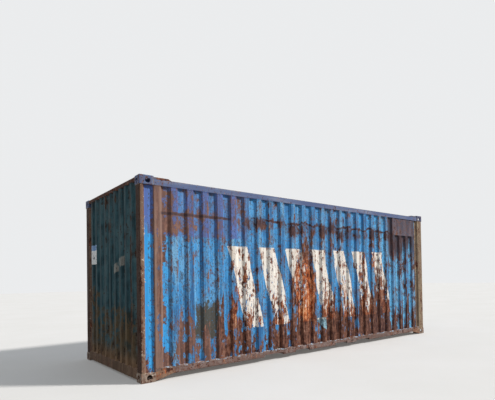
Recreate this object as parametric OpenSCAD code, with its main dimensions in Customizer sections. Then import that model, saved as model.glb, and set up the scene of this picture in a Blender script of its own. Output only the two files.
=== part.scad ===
// Twenty-foot steel shipping container with corrugated walls, doors closed.
// +X runs along the length to the door end, +Z is up and the origin is in the
// middle of the base. Left is the -Y side, and the front is the blind end.

/* [Overall] */
// Length over the corner fittings
length = 6058; // [5000:1:8000]
// Width over the corner fittings
width = 2438; // [2300:1:2600]
// Height over the corner fittings
height = 2591; // [2400:1:2900]
// Setback of posts, rails and walls behind the faces of the fittings
setback = 6; // [5.5:0.5:10]

/* [Corner fittings] */
// Length of a fitting, along the container
fit_l = 178; // [174:1:190]
// Width of a fitting
fit_w = 162; // [160:1:175]
// Height of a fitting
fit_h = 118; // [110:1:130]
// Rounding of the fitting's edges
fit_edge = 6; // [3:0.5:8]
// Thickness of the face with the long slot
fit_face = 28; // [22:0.5:32]
// Thickness of the two outer side walls
fit_wall = 16; // [12:0.5:20]
// Thickness of the walls that point inwards
fit_back = 10; // [8:0.5:11]
// Length of the slot for a twist lock
slot_l = 124; // [110:1:126]
// Width of the slot for a twist lock
slot_w = 63.5; // [55:0.5:70]
// Slot centre from the end face
slot_from_end = 102.5; // [100:0.5:103]
// Slot centre from the side face
slot_from_side = 89.5; // [80:0.5:95]
// Width of the side aperture
side_hole_w = 68; // [60:0.5:80]
// Width of the end aperture
end_hole_w = 62; // [55:0.5:70]
// Height of the side and end apertures
hole_h = 58; // [45:0.5:62]
// Rounding of the apertures' corners next to the slot's face
hole_r = 12; // [6:0.5:20]

/* [Wall corrugations] */
// Pitch aimed at, from rib to rib
pitch = 220; // [190:1:260]
// Width of the outer flat of a rib
rib_flat = 76; // [50:1:90]
// Width of the sloped web between the flats
rib_slope = 38; // [25:1:48]
// Depth of the corrugations
rib_depth = 36; // [25:1:45]
// Thickness of the wall sheet
wall_t = 2; // [1.6:0.1:3]
// Radius of the bends in the sheet
bend_r = 9; // [6:0.5:14]

/* [Posts] */
// Thickness of the post plate
post_t = 6; // [4:0.5:8]
// Bend radius of posts and rails
fold_r = 10; // [9:0.5:14]
// Front post's flat on the long side
front_side_flat = 31; // [25:1:60]
// Front post's flat on the end
front_end_flat = 141; // [120:1:160]
// Rear post's flat on the long side
rear_side_flat = 151; // [130:1:170]
// Rear post's width beside the doors
rear_end_flat = 48; // [42:1:60]
// Depth of the rear post's box
rear_box = 112; // [100:1:120]
// Flange that the wall sheet is welded to
flange = 34; // [20:1:38]

/* [Rails] */
// Underside of the bottom side rail
rail_z0 = 66; // [45:1:75]
// Top of the bottom rails and sills
rail_z1 = 162; // [155:1:175]
// Plate thickness of the bottom rails
rail_t = 4.5; // [3:0.5:6]
// Top flange of the bottom side rail
rail_top_w = 48; // [45:1:60]
// Bottom flange of the bottom side rail
rail_foot_w = 30; // [24:1:40]
// Height of the top side rails
top_rail_h = 79; // [60:1:90]
// Width of the top rails on all sides
top_rail_w = 60; // [50:1:75]
// Wall of the top rails on all sides
top_rail_t = 4; // [3:0.5:6]
// Height of the top rails at both ends
end_rail_h = 56; // [45:1:75]
// Drop of those rails' tops below the tops of the fittings
end_rail_drop = 6; // [5.5:0.5:12]
// Underside of the sills at both ends
sill_z0 = 24; // [18:1:40]
// Plate thickness of the sills
sill_t = 5; // [4:0.5:6]
// Top flange of the front sill
sill_top_w = 60; // [50:1:75]
// Bottom flange of the front sill
sill_foot_w = 40; // [30:1:60]
// Flanges of the rear sill and the rear header
rear_rail_w = 100; // [80:1:115]
// Thickness of the sloped end plates on the bottom rails
gusset_t = 5; // [3:0.5:5.5]
// Length of the sloped end plates
gusset_l = 236; // [180:1:300]
// Height of the end plates' lowest edge
gusset_z0 = 17; // [10:1:25]

/* [Base] */
// Pitch of the cross members
cross_pitch = 300; // [260:1:400]
// Flange of a cross member
cross_flange = 45; // [35:1:55]
// Thickness of a cross member
cross_t = 4; // [3:0.5:5]
// Thickness of the plywood floor
floor_t = 28; // [24:1:32]
// Height of the floor's top
floor_z = 172; // [166:1:178]
// Number of plywood rows along the length
floor_rows = 5; // [4:1:8]
// Gap between plywood sheets
floor_gap = 2; // [1:0.5:4]
// Width of the outer fork pockets
outer_pocket_w = 360; // [300:1:400]
// Centre distance of the outer fork pockets
outer_pocket_span = 2050; // [1950:1:2200]
// Width of the inner fork pockets
inner_pocket_w = 305; // [250:1:320]
// Centre distance of the inner fork pockets
inner_pocket_span = 900; // [800:1:950]
// Height of the fork pockets' roofs
pocket_z = 100; // [85:1:105]
// Thickness of the fork pockets' roofs
pocket_t = 6; // [4:0.5:8]

/* [Roof] */
// Thickness of the roof sheet
roof_t = 2; // [1.6:0.1:3]
// Height of the pressed ridges
ridge_h = 20; // [12:1:28]
// Pitch aimed at, from ridge to ridge
ridge_pitch = 209; // [180:1:260]
// Width of a ridge's flat top
ridge_flat = 91; // [60:1:100]
// Width of a ridge's sloped side
ridge_slope = 14; // [10:1:20]
// Flat margin of the roof beside the ridges
roof_margin = 95; // [85:1:140]
// Thickness of the plates beside the top fittings
corner_plate_t = 3; // [2:0.5:5]
// Reach of those plates past the fittings
corner_plate_w = 70; // [40:1:80]
// Length of the raised covers on the roof's edge beside the top fittings
cover_l = 230; // [160:1:300]
// Height of those covers
cover_h = 24; // [14:1:28]
// Length of the sloping end of those covers
cover_slope = 40; // [20:1:60]
// Clear space between the covers and the roof's ridges
cover_gap = 10; // [5:1:30]

/* [Marking panel] */
// Wall ribs that the panel covers
marking_ribs = 4; // [2:1:5]
// Height of the panel
marking_h = 340; // [200:1:500]
// Gap below the top rail
marking_gap = 10; // [4:1:40]

/* [Doors] */
// Door face behind the faces of the fittings
door_face = 62; // [58:1:75]
// Thickness of a door leaf
leaf_t = 50; // [44:1:55]
// Gap beside, above and below a leaf
leaf_gap = 8; // [6:0.5:12]
// Drop of the rear header's lower edge below the top fittings
header_drop = 35; // [20:1:200]
// Width of a leaf's uprights
stile_w = 56; // [45:1:80]
// Height of a leaf's top and bottom rails
door_rail_h = 110; // [90:1:150]
// Wall of the leaf frames
leaf_wall = 3; // [2:0.5:5]
// Distance between a leaf's outer ribs
door_rib_span = 600; // [500:1:660]
// Flat of a door rib
door_rib_flat = 112; // [90:1:130]
// Depth of the door corrugations
door_depth = 34; // [20:1:38]
// Thickness of the door gaskets
gasket_t = 24; // [15:1:30]

/* [Locking gear] */
// Diameter of a locking bar
bar_d = 34; // [26:1:38]
// Wall of a locking bar
bar_wall = 3; // [2:0.5:5]
// Clear space between the handles' hubs and the door face
hub_gap = 1; // [0.5:0.5:4]
// Running clearance round a bar
bar_fit = 0.5; // [0.3:0.1:1]
// Thickness of a cam
cam_t = 14; // [10:1:18]
// Wall of a cam's hub round its bar
cam_wall = 4; // [3:0.5:6]
// Distance from a bar to the post that its cam hooks behind
cam_reach = 34; // [31:1:45]
// Width of a cam's nose
nose_w = 26; // [20:1:30]
// Diameter of the post in a keeper
catch_post_d = 14; // [10:1:16]
// Clearance between a cam and its keeper
cam_fit = 1; // [0.5:0.1:2]
// Thickness of a keeper's jaws
jaw_t = 10; // [6:1:14]
// Width of a keeper's jaws
jaw_w = 22; // [16:1:26]
// Thickness of the foot plates of keepers, guides and catches
foot_t = 6; // [4:0.5:8]
// Height of a bar guide's sleeve
guide_h = 40; // [30:1:50]
// Wall of the sleeves of guides and handles
sleeve_wall = 7; // [5:0.5:9]
// Width of a bar guide's foot plate
guide_foot_w = 90; // [80:1:110]
// Height of a bar guide's foot plate
guide_foot_h = 60; // [45:1:80]
// Height of the handles
handle_z = 1120; // [900:1:1300]
// Drop of the outer handles below the inner ones
handle_drop = 110; // [100:1:200]
// Height of a handle's flat bar at its hub
handle_h = 32; // [24:1:40]
// Width of a handle's grip
grip_w = 24; // [18:1:30]
// Length of a handle's grip, bent off the door
grip_l = 80; // [60:1:110]
// Offset of the grip from the rest of the handle
grip_off = 8; // [4:0.5:10]
// Thickness of a handle's flat bar
handle_t = 9; // [6:0.5:11]
// Thickness of the hook that a handle rests in
hook_t = 5; // [3:0.5:6]
// Width of that hook
hook_w = 40; // [30:1:60]
// Clearance between a handle and its hook
hook_fit = 0.5; // [0.3:0.1:1.5]

/* [Hinges] */
// Hinges on each leaf
hinge_count = 4; // [3:1:5]
// Distance of the first and last hinge from a leaf's ends
hinge_inset = 190; // [150:1:300]
// Diameter of a hinge pin
pin_d = 16; // [12:1:20]
// Running clearance round a hinge pin
pin_fit = 0.4; // [0.3:0.1:1]
// Outer diameter of a hinge eye
eye_d = 34; // [30:1:40]
// Height of a hinge blade
blade_h = 60; // [45:1:80]
// Thickness of a hinge blade
blade_t = 10; // [8:1:12]
// Length of a hinge blade on its leaf
blade_l = 130; // [90:1:160]
// Rounding of a hinge blade's free end
blade_r = 14; // [6:1:20]
// Height of one ear of a hinge lug
ear_h = 20; // [14:1:26]

/* [Damage] */
// Length of the rusted hole at the foot of the left wall
foot_hole_l = 92; // [40:1:120]
// Height of that hole
foot_hole_h = 26; // [10:1:40]
// Place of that hole along the container
foot_hole_x = -930; // [-1100:1:-800]
// Length of the rusted hole in the left bottom rail
rail_hole_l = 78; // [30:1:100]
// Height of that hole
rail_hole_h = 18; // [8:1:24]
// Place of that hole, from the middle between two fork pockets
rail_hole_shift = 11; // [-20:1:20]

/* [Hidden] */

$fn = 48;
// Facets across each bend of a folded sheet
bend_steps = 2;
// How far a cut reaches past what it cuts
over = 1;

half_l = length / 2;
half_w = width / 2;
top_z = height - fit_h;
rail_l = length - 2 * fit_l;
sill_l = width - 2 * fit_w;
roof_z = top_z + top_rail_h;
end_rail_z0 = height - end_rail_drop - end_rail_h;

// Runs of the corrugated walls, from the flat of one post to the next
side_x0 = -half_l + setback + front_side_flat;
side_run = half_l - setback - rear_side_flat - side_x0;
end_run = width - 2 * (setback + front_end_flat);
// Room that a cut through a side wall needs
wall_room = setback + rib_depth + 2 * wall_t;

// Floor and cross members
cross_z1 = floor_z - floor_t;
cross_z0 = rail_z0 + rail_t;
web_in = half_w - setback - rail_t;
floor_half_w = half_w - setback - rail_top_w - floor_gap;
floor_x0 = -half_l + setback + sill_top_w + floor_gap;
floor_x1 = half_l - door_face - rear_rail_w - floor_gap;
rail_hole_x = (outer_pocket_span - outer_pocket_w + inner_pocket_span + inner_pocket_w) / 4
    + rail_hole_shift;
pockets = [
    [-outer_pocket_span / 2, outer_pocket_w], [-inner_pocket_span / 2, inner_pocket_w],
    [inner_pocket_span / 2, inner_pocket_w], [outer_pocket_span / 2, outer_pocket_w]];

// Doors, in a frame whose x' runs inwards from the door end
opening_half = half_w - setback - rear_end_flat;
header_z0 = top_z - header_drop;
leaf_w = opening_half - 2 * leaf_gap;
leaf_z0 = rail_z1 + leaf_gap;
leaf_z1 = header_z0 - leaf_gap;
leaf_h = leaf_z1 - leaf_z0;
leaf_mid = leaf_gap + leaf_w / 2;
window_w = leaf_w - 2 * stile_w;
window_h = leaf_h - 2 * door_rail_h;
bar_x = door_face - hub_gap - sleeve_wall - bar_d / 2;
bar_ys = [for (side = [-1, 1], inner = [1, -1]) side * (leaf_mid + inner * door_rib_span / 2)];
jaw_gap = cam_t + 2 * cam_fit;
keeper_h = jaw_gap + 2 * jaw_t;
keeper_inset = 6;
sill_keeper_z = rail_z1 - keeper_h - keeper_inset;
header_keeper_z = header_z0 + keeper_inset;
bar_z0 = sill_keeper_z + jaw_t + cam_fit;
bar_z1 = header_keeper_z + jaw_t + cam_fit + cam_t;
guide_z0 = leaf_z0 + door_rail_h / 2;
guide_z1 = leaf_z1 - door_rail_h / 2;
guide_zs = [guide_z0, (guide_z0 + handle_z - handle_drop) / 2, (handle_z + guide_z1) / 2, guide_z1];

// From a bar's axis to the door face, and to the post that its cam hooks behind
bar_to_face = door_face - bar_x;
post_sink = 3;
post_off = nose_w / 2 - post_sink;
// Levers: outer face, straight stretch past the hook, and whole length
lever_x = bar_x - bar_d / 2 - sleeve_wall;
lever_bend_r = handle_t + fold_r;
lever_run = door_rib_span / 2 + hook_w / 2 + lever_bend_r / 2;
grip_start = lever_run + 3 * grip_off;
handle_l = grip_start + grip_l;
// Hinge pins: how far an eye reaches into its blade, and the pin's place
eye_sink = 6;
pin_x = door_face - blade_t - eye_d / 2 + eye_sink;
pin_y = opening_half - eye_d / 2 - pin_fit;
hinge_zs = [for (i = [0 : hinge_count - 1])
    leaf_z0 + hinge_inset + i * (leaf_h - 2 * hinge_inset) / (hinge_count - 1)];

function turned(v, a) = [v[0] * cos(a) - v[1] * sin(a), v[0] * sin(a) + v[1] * cos(a)];
function left_of(v) = [-v[1], v[0]];
function unit(v) = v / norm(v);

// Points round one bend of radius r, at distance s to the left of the line
function bend(p, a, b, r, s) =
    let (angle = atan2(a[0] * b[1] - a[1] * b[0], a * b),
         side = sign(angle),
         centre = p - a * r * tan(abs(angle) / 2) + side * r * left_of(a))
    [for (i = [0 : bend_steps])
        centre - side * (r - side * s) * left_of(turned(a, angle * i / bend_steps))];

// A path with rounded bends, at distance s to its left
function line_at(path, r, s) =
    let (last = len(path) - 1)
    concat(
        [path[0] + s * left_of(unit(path[1] - path[0]))],
        [for (i = [1 : last - 1])
            each bend(path[i], unit(path[i] - path[i - 1]), unit(path[i + 1] - path[i]), r, s)],
        [path[last] + s * left_of(unit(path[last] - path[last - 1]))]);

// Section of a folded plate, t thick to the left of its outer line
module folded(path, t, r) {
    inner = line_at(path, r, t);
    polygon(concat(line_at(path, r, 0), [for (i = [len(inner) - 1 : -1 : 0]) inner[i]]));
}

// Corrugations that fit a run between two post flats
function ribs_in(run) = round((run + rib_flat) / pitch) - 1;
function inner_flat(run) =
    (run - 2 * rib_slope - ribs_in(run) * (rib_flat + 2 * rib_slope)) / (ribs_in(run) + 1);
function bay(run) = inner_flat(run) + rib_flat + 2 * rib_slope;
function rib_at(run, k) = 2 * rib_slope + inner_flat(run) + k * bay(run);
function wall_line(run) = concat(
    [[rib_slope + flange, rib_depth]],
    [for (k = [0 : ribs_in(run) - 1]) let (x = rib_at(run, k)) each [
        [x - rib_slope, rib_depth], [x, 0],
        [x + rib_flat, 0], [x + rib_flat + rib_slope, rib_depth]]],
    [[run - rib_slope - flange, rib_depth]]);

// Flat shapes
module rounded_rect(l, w, r) {
    translate([r, 0]) square([l - 2 * r, w]);
    translate([0, r]) square([l, w - 2 * r]);
    for (x = [r, l - r], y = [r, w - r]) translate([x, y]) circle(r);
}

module stadium(l, w) {
    square([l - w, w], center = true);
    for (x = [-1, 1]) translate([x * (l - w) / 2, 0]) circle(d = w);
}

module tube_section(w, h, t, r) {
    difference() {
        rounded_rect(w, h, r);
        translate([t, t]) rounded_rect(w - 2 * t, h - 2 * t, r - t);
    }
}

// A flat shape's x becomes Y and its y becomes Z, drawn along X
module along_x(x0, x1) {
    translate([x0, 0, 0]) rotate([90, 0, 90]) linear_extrude(x1 - x0) children();
}

// A flat shape's x stays X and its y becomes Z, drawn along Y
module along_y(y0, y1) {
    translate([0, y1, 0]) rotate([90, 0, 0]) linear_extrude(y1 - y0) children();
}

// Places a piece drawn for the front left corner, x' and y' pointing inwards
module at_corner(end, side) {
    translate([end * half_l, side * half_w, 0])
        mirror([end > 0 ? 1 : 0, 0, 0]) mirror([0, side > 0 ? 1 : 0, 0]) children();
}

module at_top() {
    translate([0, 0, height]) mirror([0, 0, 1]) children();
}

// The door end's frame, x' inwards from the faces of the fittings
module at_door_end() {
    translate([half_l, 0, 0]) mirror([1, 0, 0]) children();
}

module mirrored_y(side) {
    mirror([0, side > 0 ? 1 : 0, 0]) children();
}

// Outline of a fitting's aperture: flat and cornered below, round above
module aperture(w) {
    r = w / 2;
    intersection() {
        union() {
            translate([0, hole_h / 2 - r]) circle(r);
            translate([-r, -hole_h / 2]) square([w, hole_h - r]);
        }
        translate([-r, -hole_h / 2]) rounded_rect(w, 2 * w, hole_r);
    }
}

// Hollow cast corner fitting with a slot below and apertures in its outer walls
module corner_fitting() {
    hole_z = (fit_h + fit_face - fit_back) / 2;
    difference() {
        intersection() {
            linear_extrude(fit_h) rounded_rect(fit_l, fit_w, fit_edge);
            along_x(0, fit_l) rounded_rect(fit_w, fit_h, fit_edge);
            along_y(0, fit_w) rounded_rect(fit_l, fit_h, fit_edge);
        }
        translate([fit_wall, fit_wall, fit_face])
            cube([fit_l - fit_wall - fit_back, fit_w - fit_wall - fit_back,
                fit_h - fit_face - fit_back]);
        translate([slot_from_end, slot_from_side, -over])
            linear_extrude(fit_face + 2 * over) stadium(slot_l, slot_w);
        translate([slot_from_end, 0, hole_z])
            along_y(-over, fit_wall + over) aperture(side_hole_w);
        translate([0, slot_from_side, hole_z])
            along_x(-over, fit_wall + over) aperture(end_hole_w);
    }
}

module bottom_fitting(end, side) {
    color("rosybrown") at_corner(end, side) corner_fitting();
}

module top_fitting(end, side) {
    color("slategray") at_top() at_corner(end, side) corner_fitting();
}

// Front post, folded from one plate, with a flange for each wall
module front_post(side) {
    color("sienna") at_corner(-1, side) difference() {
        translate([setback, setback, fit_h]) linear_extrude(top_z - fit_h) folded([
            [rib_depth, front_end_flat + rib_slope + flange],
            [rib_depth, front_end_flat + rib_slope],
            [0, front_end_flat],
            [0, 0],
            [front_side_flat, 0],
            [front_side_flat + rib_slope, rib_depth],
            [front_side_flat + rib_slope + flange, rib_depth]], post_t, fold_r);
        // The front sill passes here
        translate([0, fit_w, fit_h - over]) cube([fit_l, fit_w, rail_z1 - fit_h + over]);
    }
}

// Rear post, a folded plate closed to a box beside the door
module rear_post(side) {
    color("dimgray") at_corner(1, side) translate([setback, setback, fit_h])
        linear_extrude(top_z - fit_h) {
            folded([
                [rear_box, rear_end_flat],
                [0, rear_end_flat],
                [0, 0],
                [rear_side_flat, 0],
                [rear_side_flat + rib_slope, rib_depth],
                [rear_side_flat + rib_slope + flange, rib_depth]], post_t, fold_r);
            translate([rear_box - post_t, post_t / 2])
                square([post_t, rear_end_flat - post_t]);
        }
}

module front_sill() {
    color("saddlebrown") translate([-half_l + setback, 0, 0]) along_y(-sill_l / 2, sill_l / 2)
        folded([[sill_top_w, rail_z1], [0, rail_z1], [0, sill_z0], [sill_foot_w, sill_z0]],
            sill_t, fold_r);
}

// Front header: a tube, with a skirt down to the posts behind the wall's sheet
module front_header() {
    color("darkslategray") translate([-half_l + setback, 0, 0])
        along_y(-sill_l / 2, sill_l / 2) {
            translate([0, end_rail_z0]) tube_section(top_rail_w, end_rail_h, top_rail_t, fold_r);
            translate([rib_depth + wall_t, top_z])
                square([top_rail_t, end_rail_z0 + top_rail_t / 2 - top_z]);
        }
}

// Door sill: its upper part runs on over the fittings to the posts
module rear_sill() {
    color("saddlebrown") at_door_end() difference() {
        translate([door_face, 0, 0]) along_y(-opening_half, opening_half)
            folded([[rear_rail_w, rail_z1], [0, rail_z1], [0, sill_z0], [sill_foot_w, sill_z0]],
                sill_t, fold_r);
        for (side = [-1, 1]) translate([0, side * (sill_l + width) / 4, fit_h / 2 - over])
            cube([2 * fit_l, fit_w, fit_h + 2 * over], center = true);
    }
}

// Door header: a folded plate below a tube, cut back round the top fittings
module rear_header() {
    color("slategray") at_door_end() difference() {
        translate([door_face, 0, 0]) along_y(-opening_half, opening_half) {
            translate([0, end_rail_z0]) tube_section(top_rail_w, end_rail_h, top_rail_t, fold_r);
            folded([[0, end_rail_z0 + fold_r], [0, header_z0], [rear_rail_w, header_z0]],
                top_rail_t, fold_r);
        }
        for (side = [-1, 1]) translate([0, side * (sill_l + width) / 4, height - fit_h / 2])
            cube([2 * fit_l, fit_w, fit_h], center = true);
    }
}

// Ragged outline of a rusted hole
module ragged_hole(l, h) {
    steps = 11;
    polygon([for (i = [0 : steps - 1]) let (a = 360 * i / steps, wave = 1 + 0.16 * sin(5 * a + 40 * i))
        [l / 2 * wave * cos(a), h / 2 * wave * sin(a)]]);
}

// Bottom side rail: a channel open inwards, notched over the fork pockets
module bottom_rail() {
    difference() {
        translate([0, -half_w + setback, 0]) along_x(-rail_l / 2, rail_l / 2)
            folded([[rail_top_w, rail_z1], [0, rail_z1], [0, rail_z0], [rail_foot_w, rail_z0]],
                rail_t, fold_r);
        for (p = pockets)
            translate([p[0] - p[1] / 2, -half_w, rail_z0 - over])
                cube([p[1], 2 * rail_top_w, pocket_z - rail_z0 + over]);
    }
}

module bottom_rail_left() {
    color("rosybrown") difference() {
        bottom_rail();
        translate([rail_hole_x, 0, (rail_z0 + rail_z1) / 2 - rail_hole_h / 2])
            along_y(-half_w, -half_w + 2 * fold_r) ragged_hole(rail_hole_l, rail_hole_h);
    }
}

module bottom_rail_right() {
    color("rosybrown") mirrored_y(1) bottom_rail();
}

module top_rail(side) {
    color("lightslategray") mirrored_y(side) translate([0, -half_w + setback, top_z])
        along_x(-rail_l / 2, rail_l / 2)
            tube_section(top_rail_w, top_rail_h, top_rail_t, fold_r);
}

// Sloped plates that tie the raised rails to the bottom fittings
module rail_gussets() {
    color("peru") for (end = [-1, 1], side = [-1, 1]) at_corner(end, side)
        translate([0, setback - gusset_t, 0]) along_y(0, gusset_t) polygon([
            [fit_l, gusset_z0], [fit_l + 0.12 * gusset_l, gusset_z0],
            [fit_l + gusset_l, rail_z0 + fold_r], [fit_l + gusset_l, rail_z0 + 3 * fold_r],
            [fit_l + 0.9 * gusset_l, rail_z1 - 2 * fold_r], [fit_l + 0.4 * gusset_l, rail_z1 - fold_r],
            [fit_l, fit_h - fit_edge]]);
}

// Channel section of a cross member, its web at x = 0
module cross_section() {
    folded([[cross_flange, cross_z1], [0, cross_z1], [0, cross_z0], [cross_flange, cross_z0]],
        cross_t, fold_r);
}

function in_pocket(x) =
    max([for (p = pockets) abs(x - p[0]) < p[1] / 2 + 2 * cross_flange ? 1 : 0]) == 1;

// Channels between the rails, where no fork pocket is
module cross_members() {
    start = -half_l + fit_l;
    count = floor((rail_l - cross_flange) / cross_pitch);
    step = (rail_l - cross_flange) / count;
    color("dimgray") for (i = [0 : count]) let (x = start + i * step)
        if (!in_pocket(x)) translate([x, 0, 0]) along_y(-web_in, web_in) cross_section();
}

// A fork pocket: two channels with a roof plate between them, open below
module fork_pockets() {
    color("dimgray") for (p = pockets) translate([p[0], 0, 0]) along_y(-web_in, web_in) {
        for (side = [0, 1]) mirror([side, 0]) translate([p[1] / 2, 0]) cross_section();
        translate([-p[1] / 2 - cross_t / 2, pocket_z]) square([p[1] + cross_t, pocket_t]);
    }
}

module floor_boards() {
    board_l = (floor_x1 - floor_x0 - (floor_rows - 1) * floor_gap) / floor_rows;
    board_w = floor_half_w - floor_gap / 2;
    color("burlywood") for (i = [0 : floor_rows - 1], side = [-1, 1])
        translate([floor_x0 + i * (board_l + floor_gap), side > 0 ? floor_gap / 2 : -floor_half_w,
            cross_z1]) cube([board_l, board_w, floor_t]);
}

module front_wall() {
    color("darkslategray") translate([-half_l + setback, 0, rail_z1])
        linear_extrude(end_rail_z0 - rail_z1)
            folded([for (p = wall_line(end_run)) [p[1], end_run / 2 - p[0]]], wall_t, bend_r);
}

// Long wall: it stands on the bottom rail, and on the fittings at its ends
module side_wall() {
    difference() {
        translate([side_x0, -half_w + setback, fit_h]) linear_extrude(top_z - fit_h)
            folded(wall_line(side_run), wall_t, bend_r);
        translate([-rail_l / 2, -half_w, fit_h - over])
            cube([rail_l, wall_room, rail_z1 - fit_h + over]);
    }
}

module side_wall_left() {
    color("steelblue") difference() {
        side_wall();
        translate([foot_hole_x, 0, rail_z1 + foot_hole_h / 2 + 2])
            along_y(-half_w, -half_w + wall_room)
                ragged_hole(foot_hole_l, foot_hole_h);
    }
}

module side_wall_right() {
    color("steelblue") mirrored_y(1) side_wall();
}

// Outline of the roof's ridges in X and Z, lifted or let down by dz
module ridge_rows(count, step, dz) {
    for (i = [0 : count - 1]) translate([(i - (count - 1) / 2) * step, dz]) polygon([
        [-ridge_flat / 2 - ridge_slope, 0], [ridge_flat / 2 + ridge_slope, 0],
        [ridge_flat / 2, ridge_h], [-ridge_flat / 2, ridge_h]]);
}

// Pressed roof sheet: ridges across it, with closed sloping ends
module roof_panel() {
    x0 = -half_l + setback + top_rail_w;
    x1 = half_l - door_face - top_rail_w;
    ridge_x0 = -half_l + setback + fit_l + roof_margin;
    ridge_x1 = half_l - door_face - fit_l - roof_margin;
    count = floor((ridge_x1 - ridge_x0) / ridge_pitch);
    step = (ridge_x1 - ridge_x0) / count;
    half_y = half_w - setback - roof_t;
    ridge_y = half_w - setback - roof_margin;
    mid_x = (ridge_x0 + ridge_x1) / 2;
    color("slategray") difference() {
        union() {
            translate([x0, -half_y, roof_z]) cube([x1 - x0, 2 * half_y, roof_t]);
            ridge_block(count, step, mid_x, ridge_y, roof_t);
        }
        ridge_block(count, step, mid_x, ridge_y - roof_t, 0);
        for (end = [-1, 1], side = [-1, 1]) at_corner(end, side) translate([-over, -over, top_z])
            cube([fit_l + over, fit_w + over, fit_h]);
    }
}

module ridge_block(count, step, mid_x, ridge_y, dz) {
    intersection() {
        translate([mid_x, 0, roof_z]) along_y(-ridge_y, ridge_y) ridge_rows(count, step, dz);
        translate([0, 0, roof_z + dz]) along_x(-half_l, half_l) polygon([
            [-ridge_y, 0], [ridge_y, 0], [ridge_y - ridge_slope, ridge_h],
            [-ridge_y + ridge_slope, ridge_h]]);
    }
}

// Plates that guard the roof beside the top fittings, with a cover on its edge
module roof_corner_plates() {
    color("slategray") for (end = [-1, 1], side = [-1, 1]) let (
        x0 = top_rail_w + (end > 0 ? door_face : setback),
        y0 = setback + 2 * roof_t)
        at_corner(end, side) translate([0, 0, roof_z + roof_t]) difference() {
            union() {
                translate([x0, y0, 0])
                    cube([fit_l + corner_plate_w - x0, fit_w + corner_plate_w - y0, corner_plate_t]);
                edge_cover(y0, 0);
            }
            edge_cover(y0, corner_plate_t);
            translate([-over, -over, -over])
                cube([fit_l + over, fit_w + over, corner_plate_t + 2 * over]);
        }
}

// Raised cover with a sloping end, or with an inset the hollow below it
module edge_cover(y0, inset) {
    end_x = fit_l + cover_l - 2 * inset;
    slope_x = end_x - cover_slope * (1 - inset / cover_h);
    along_y(y0 + inset, setback + roof_margin - cover_gap - inset) polygon([
        [fit_l + inset, -inset], [end_x, -inset], [end_x, 0],
        [slope_x, cover_h - inset], [fit_l + inset, cover_h - inset]]);
}

// Flat plates over the last ribs below the top rails
module marking_panels() {
    first = ribs_in(side_run) - marking_ribs;
    x0 = side_x0 + rib_at(side_run, first);
    x1 = side_x0 + rib_at(side_run, ribs_in(side_run) - 1) + rib_flat;
    color("dimgray") for (side = [-1, 1]) mirrored_y(side)
        translate([x0, -half_w + setback - wall_t, top_z - marking_gap - marking_h])
            cube([x1 - x0, wall_t, marking_h]);
}

// Leaf frame: an open-backed box section round the window
module door_frame(side) {
    color("slategray") at_door_end() mirrored_y(side)
        translate([door_face, -opening_half + leaf_gap, leaf_z0]) difference() {
            cube([leaf_t, leaf_w, leaf_h]);
            translate([-over, stile_w, door_rail_h])
                cube([leaf_t + 2 * over, window_w, window_h]);
            translate([leaf_wall, leaf_wall, leaf_wall]) difference() {
                cube([leaf_t, leaf_w - 2 * leaf_wall, leaf_h - 2 * leaf_wall]);
                translate([-over, stile_w - 2 * leaf_wall, door_rail_h - 2 * leaf_wall])
                    cube([leaf_t + 2 * over, window_w + 2 * leaf_wall, window_h + 2 * leaf_wall]);
            }
        }
}

// Door sheet with three upright ribs, flush with the frame's outer face
module door_panel(side) {
    mid = window_w / 2;
    rib = door_rib_flat / 2;
    path = concat([[door_depth, window_w]],
        [for (k = [1 : -1 : -1]) let (y = mid + k * door_rib_span / 2) each [
            [door_depth, y + rib + rib_slope], [0, y + rib],
            [0, y - rib], [door_depth, y - rib - rib_slope]]],
        [[door_depth, 0]]);
    color("steelblue") at_door_end() mirrored_y(side)
        translate([door_face, -opening_half + leaf_gap + stile_w, leaf_z0 + door_rail_h])
            linear_extrude(window_h) folded(path, wall_t, bend_r);
}

// Rubber seal round each leaf
module door_gaskets() {
    lip = leaf_gap - 0.5;
    color("black") at_door_end() for (side = [-1, 1]) mirrored_y(side)
        translate([door_face + leaf_wall, -opening_half + leaf_gap, leaf_z0]) difference() {
            translate([0, -lip, -lip]) cube([gasket_t, leaf_w + 2 * lip, leaf_h + 2 * lip]);
            translate([-over, 0, 0]) cube([gasket_t + 2 * over, leaf_w, leaf_h]);
        }
}

// Post half of each hinge: two ears with the pin through them
module hinge_lugs() {
    color("gray") at_door_end() for (side = [-1, 1], z = hinge_zs) mirrored_y(side)
        translate([pin_x, -pin_y, z]) {
            for (end = [-1, 1]) translate([0, 0, end * (blade_h + ear_h + 2 * pin_fit) / 2]) {
                cylinder(d = eye_d, h = ear_h, center = true);
                translate([-eye_d / 4, pin_y - opening_half, -ear_h / 2])
                    cube([eye_d / 2, opening_half - pin_y, ear_h]);
            }
            cylinder(d = pin_d, h = blade_h + 2 * ear_h + 2 * pin_fit, center = true);
        }
}

// Leaf half of each hinge: an eye on the pin and a blade on the door face
module hinge_blades() {
    color("gray") at_door_end() for (side = [-1, 1], z = hinge_zs) mirrored_y(side)
        translate([0, -pin_y, z]) difference() {
            union() {
                translate([pin_x, 0, 0]) cylinder(d = eye_d, h = blade_h, center = true);
                translate([0, 0, -blade_h / 2]) along_x(door_face - blade_t, door_face) {
                    square([blade_l - blade_r, blade_h]);
                    translate([blade_l - 2 * blade_r - over, 0])
                        rounded_rect(2 * blade_r + over, blade_h, blade_r);
                }
            }
            translate([pin_x, 0, 0]) cylinder(d = pin_d + 2 * pin_fit, h = blade_h + 2, center = true);
            translate([door_face, -eye_d, -blade_h]) cube([eye_d, blade_l, 2 * blade_h]);
        }
}

// Places a flat shape at a bar, its x inwards and its y towards the cam's keeper
module at_bar(y, z) {
    translate([bar_x, y, z]) mirror([0, y > 0 ? 1 : 0, 0]) children();
}

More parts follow.
